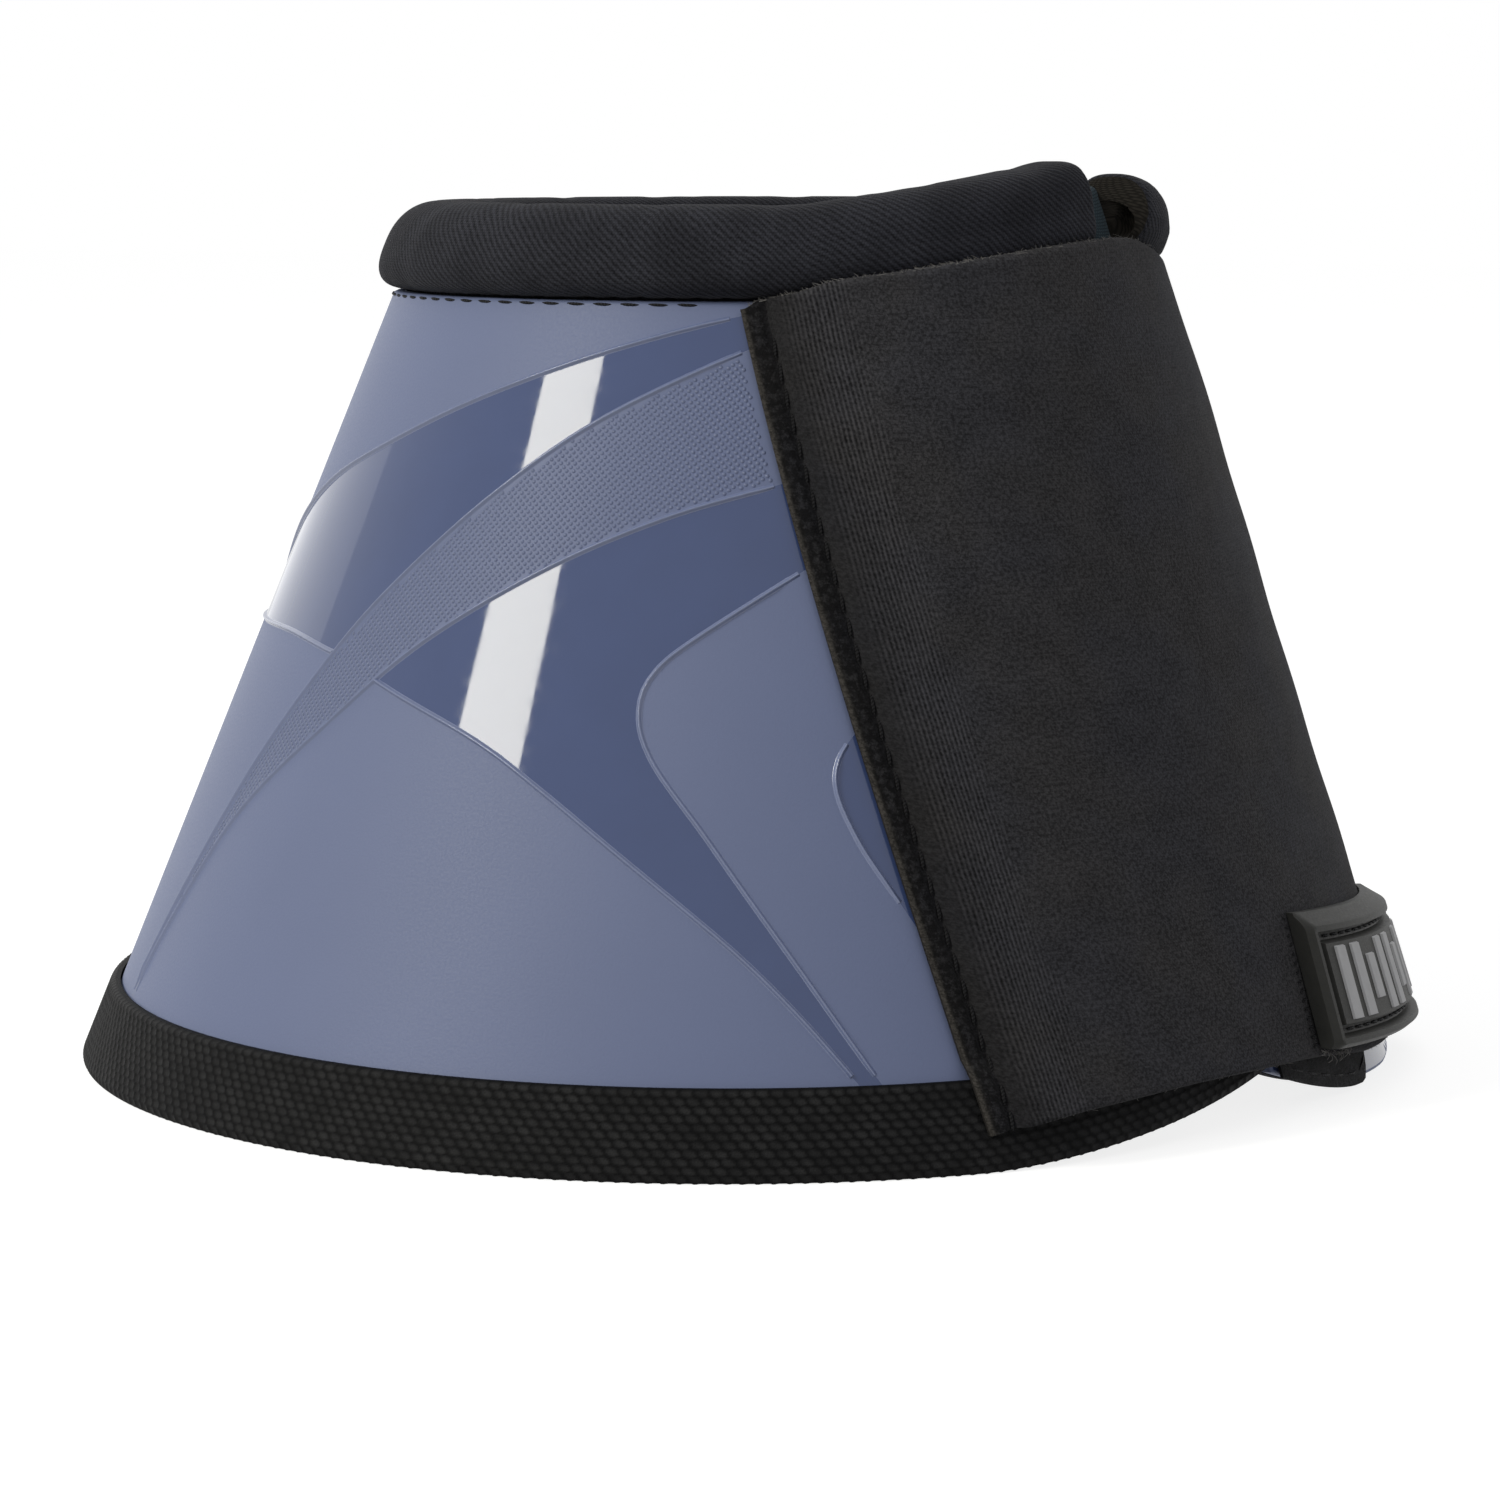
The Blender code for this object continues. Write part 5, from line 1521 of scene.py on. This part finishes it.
def make_badge():
    frame_in = badge_frame
    groove_in = badge_frame + badge_bevel
    groove_out = groove_in + badge_groove
    plateau_in = groove_out + badge_bevel
    field_height = badge_height - badge_top_slope
    insets = (badge_flank, frame_in, groove_in, groove_out, plateau_in)
    column_marks = [mark for inset in insets for mark in (inset, badge_width - inset)]
    row_marks = [mark for inset in (0.0, *insets) for mark in (inset, field_height - inset)]
    columns = feature_steps(column_marks, 0.0, badge_width, badge_step)
    rows = feature_steps(row_marks, 0.0, badge_height, badge_step)
    column, row = np.meshgrid(columns, rows, indexing="ij")
    x = np.minimum(column, badge_width - column)
    y = np.minimum(row, badge_height - badge_top_slope - row)
    inset = np.minimum(x, y)
    near_corner = (x < badge_corner) & (y < badge_corner)
    inset = np.where(near_corner, badge_corner - np.hypot(badge_corner - x, badge_corner - y), inset)
    depth = table_value(((-badge_top_slope, 0.0021), (0.0, badge_flank_drop), (badge_flank, 0.0),
                         (frame_in, 0.0), (groove_in, badge_groove_depth),
                         (groove_out, badge_groove_depth), (plateau_in, badge_plateau_drop)), inset)
    draft = Draft()
    uv = np.stack([column, row], -1)
    top = badge_place(column, row, badge_outer - depth)
    draft.grid(top, uv)
    border = border_of(len(columns), len(rows))
    rim = np.stack([badge_place(column[border], row[border], badge_seat), top[border]], 1)
    draft.grid(rim, grid_uv(np.linspace(0.0, 0.14, len(rim) + 1), [0.0, badge_wall]), wrap_u=True)
    draft.grid(badge_place(column, row, badge_seat), uv, flip=True)
    add_badge_threads(draft, (groove_in + groove_out) / 2.0, field_height)
    add_badge_bars(draft, plateau_in, field_height)
    return make_object("badge_tab", draft, [badge_rubber, badge_grey, black_thread, fuzz_fibre],
                       sharp_angle=30.0)


badge = make_badge()
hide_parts("badge_base", "badge_inlay")
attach(badge, "flap")


# Stage: a pale floor, a white surround and soft studio light

floor_reach, floor_white, world_fill = 4.0, 0.82, 0.50
floor_grey, white = (0.35, 0.35, 0.35, 1.0), (1.0, 1.0, 1.0, 1.0)
light_aim = Vector((-0.02, 0.0, 0.07))


def seen_by(tree, *rays):
    """1 where one of these kinds of ray meets the surface."""
    path = add_node(tree, "ShaderNodeLightPath", {})
    seen = path.outputs[rays[0]]
    for ray in rays[1:]:
        either = add_node(tree, "ShaderNodeMath", {0: seen, 1: path.outputs[ray]}, operation="MAXIMUM")
        seen = either.outputs[0]
    return seen


def make_floor():
    mesh = bpy.data.meshes.new("floor")
    corners = [(x * floor_reach, y * floor_reach, 0.0) for x, y in ((-1, -1), (1, -1), (1, 1), (-1, 1))]
    mesh.from_pydata(corners, [], [(0, 1, 2, 3)])
    floor = bpy.data.objects.new("floor", mesh)
    bpy.context.scene.collection.objects.link(floor)
    material = bpy.data.materials.new("floor_white")
    material.use_nodes = True
    tree = material.node_tree
    shader = tree.nodes["Principled BSDF"]
    shader.inputs["Base Color"].default_value = floor_grey
    shader.inputs["Roughness"].default_value = 0.9
    shader.inputs["Specular IOR Level"].default_value = 0.0
    seen = seen_by(tree, "Is Camera Ray", "Is Glossy Ray")
    level = add_node(tree, "ShaderNodeMath", {0: seen, 1: floor_white}, operation="MULTIPLY")
    glow = add_node(tree, "ShaderNodeEmission", {"Color": white, "Strength": level.outputs[0]})
    both = add_node(tree, "ShaderNodeAddShader", {0: shader.outputs["BSDF"], 1: glow.outputs["Emission"]})
    tree.links.new(both.outputs["Shader"], tree.nodes["Material Output"].inputs["Surface"])
    mesh.materials.append(material)


def make_world():
    world = bpy.data.worlds.new("surround")
    bpy.context.scene.world = world
    world.use_nodes = True
    tree = world.node_tree
    dim = tree.nodes["Background"]
    dim.inputs["Color"].default_value = white
    dim.inputs["Strength"].default_value = world_fill
    bright = add_node(tree, "ShaderNodeBackground", {"Color": white, "Strength": 1.0})
    seen = seen_by(tree, "Is Camera Ray", "Is Glossy Ray", "Is Transmission Ray")
    choice = add_node(tree, "ShaderNodeMixShader", {0: seen, 1: dim.outputs[0], 2: bright.outputs[0]})
    tree.links.new(choice.outputs[0], tree.nodes["World Output"].inputs["Surface"])


def make_softbox(name, azimuth, elevation, distance, width, height, radiance, color=(1.0, 1.0, 1.0),
                 turn_over=0.0, mirrored=True):
    """A rectangular lamp that looks at the boot. Its reflection shows in the glossy bands if mirrored."""
    light = bpy.data.lights.new(name, "AREA")
    light.shape = "RECTANGLE"
    light.size, light.size_y = width, height
    light.energy = radiance * math.pi * width * height
    light.color = color
    lamp = bpy.data.objects.new(name, light)
    bpy.context.scene.collection.objects.link(lamp)
    turn, rise = math.radians(azimuth), math.radians(elevation)
    spot = Vector((math.cos(rise) * math.cos(turn), math.cos(rise) * math.sin(turn), math.sin(rise)))
    lamp.location = light_aim + spot * distance
    facing = spot.to_track_quat("Z", "Y") @ Quaternion((0.0, 0.0, 1.0), math.radians(turn_over))
    lamp.rotation_euler = facing.to_euler()
    lamp.visible_glossy = mirrored


make_floor()
make_world()
make_softbox("strip_softbox", -126.2, 31.0, 1.5, 0.41, 0.62, 15.0, (1.0, 0.97, 0.86), -2.0)
make_softbox("left_softbox", 150.0, 12.0, 1.6, 1.30, 1.10, 0.45)
make_softbox("front_fill", -60.0, 50.0, 2.0, 1.2, 1.2, 0.8, mirrored=False)

camera_data = bpy.data.cameras.new("camera")
camera_data.lens = 109.8
camera_data.sensor_width = 36.0
camera = bpy.data.objects.new("camera", camera_data)
bpy.context.scene.collection.objects.link(camera)
camera.location = (0.24637, -0.5793, 0.1251)
camera.rotation_euler = (math.radians(90.0 - 7.586), 0.0, math.radians(23.0))
bpy.context.scene.camera = camera
bpy.context.scene.view_settings.view_transform = "Standard"
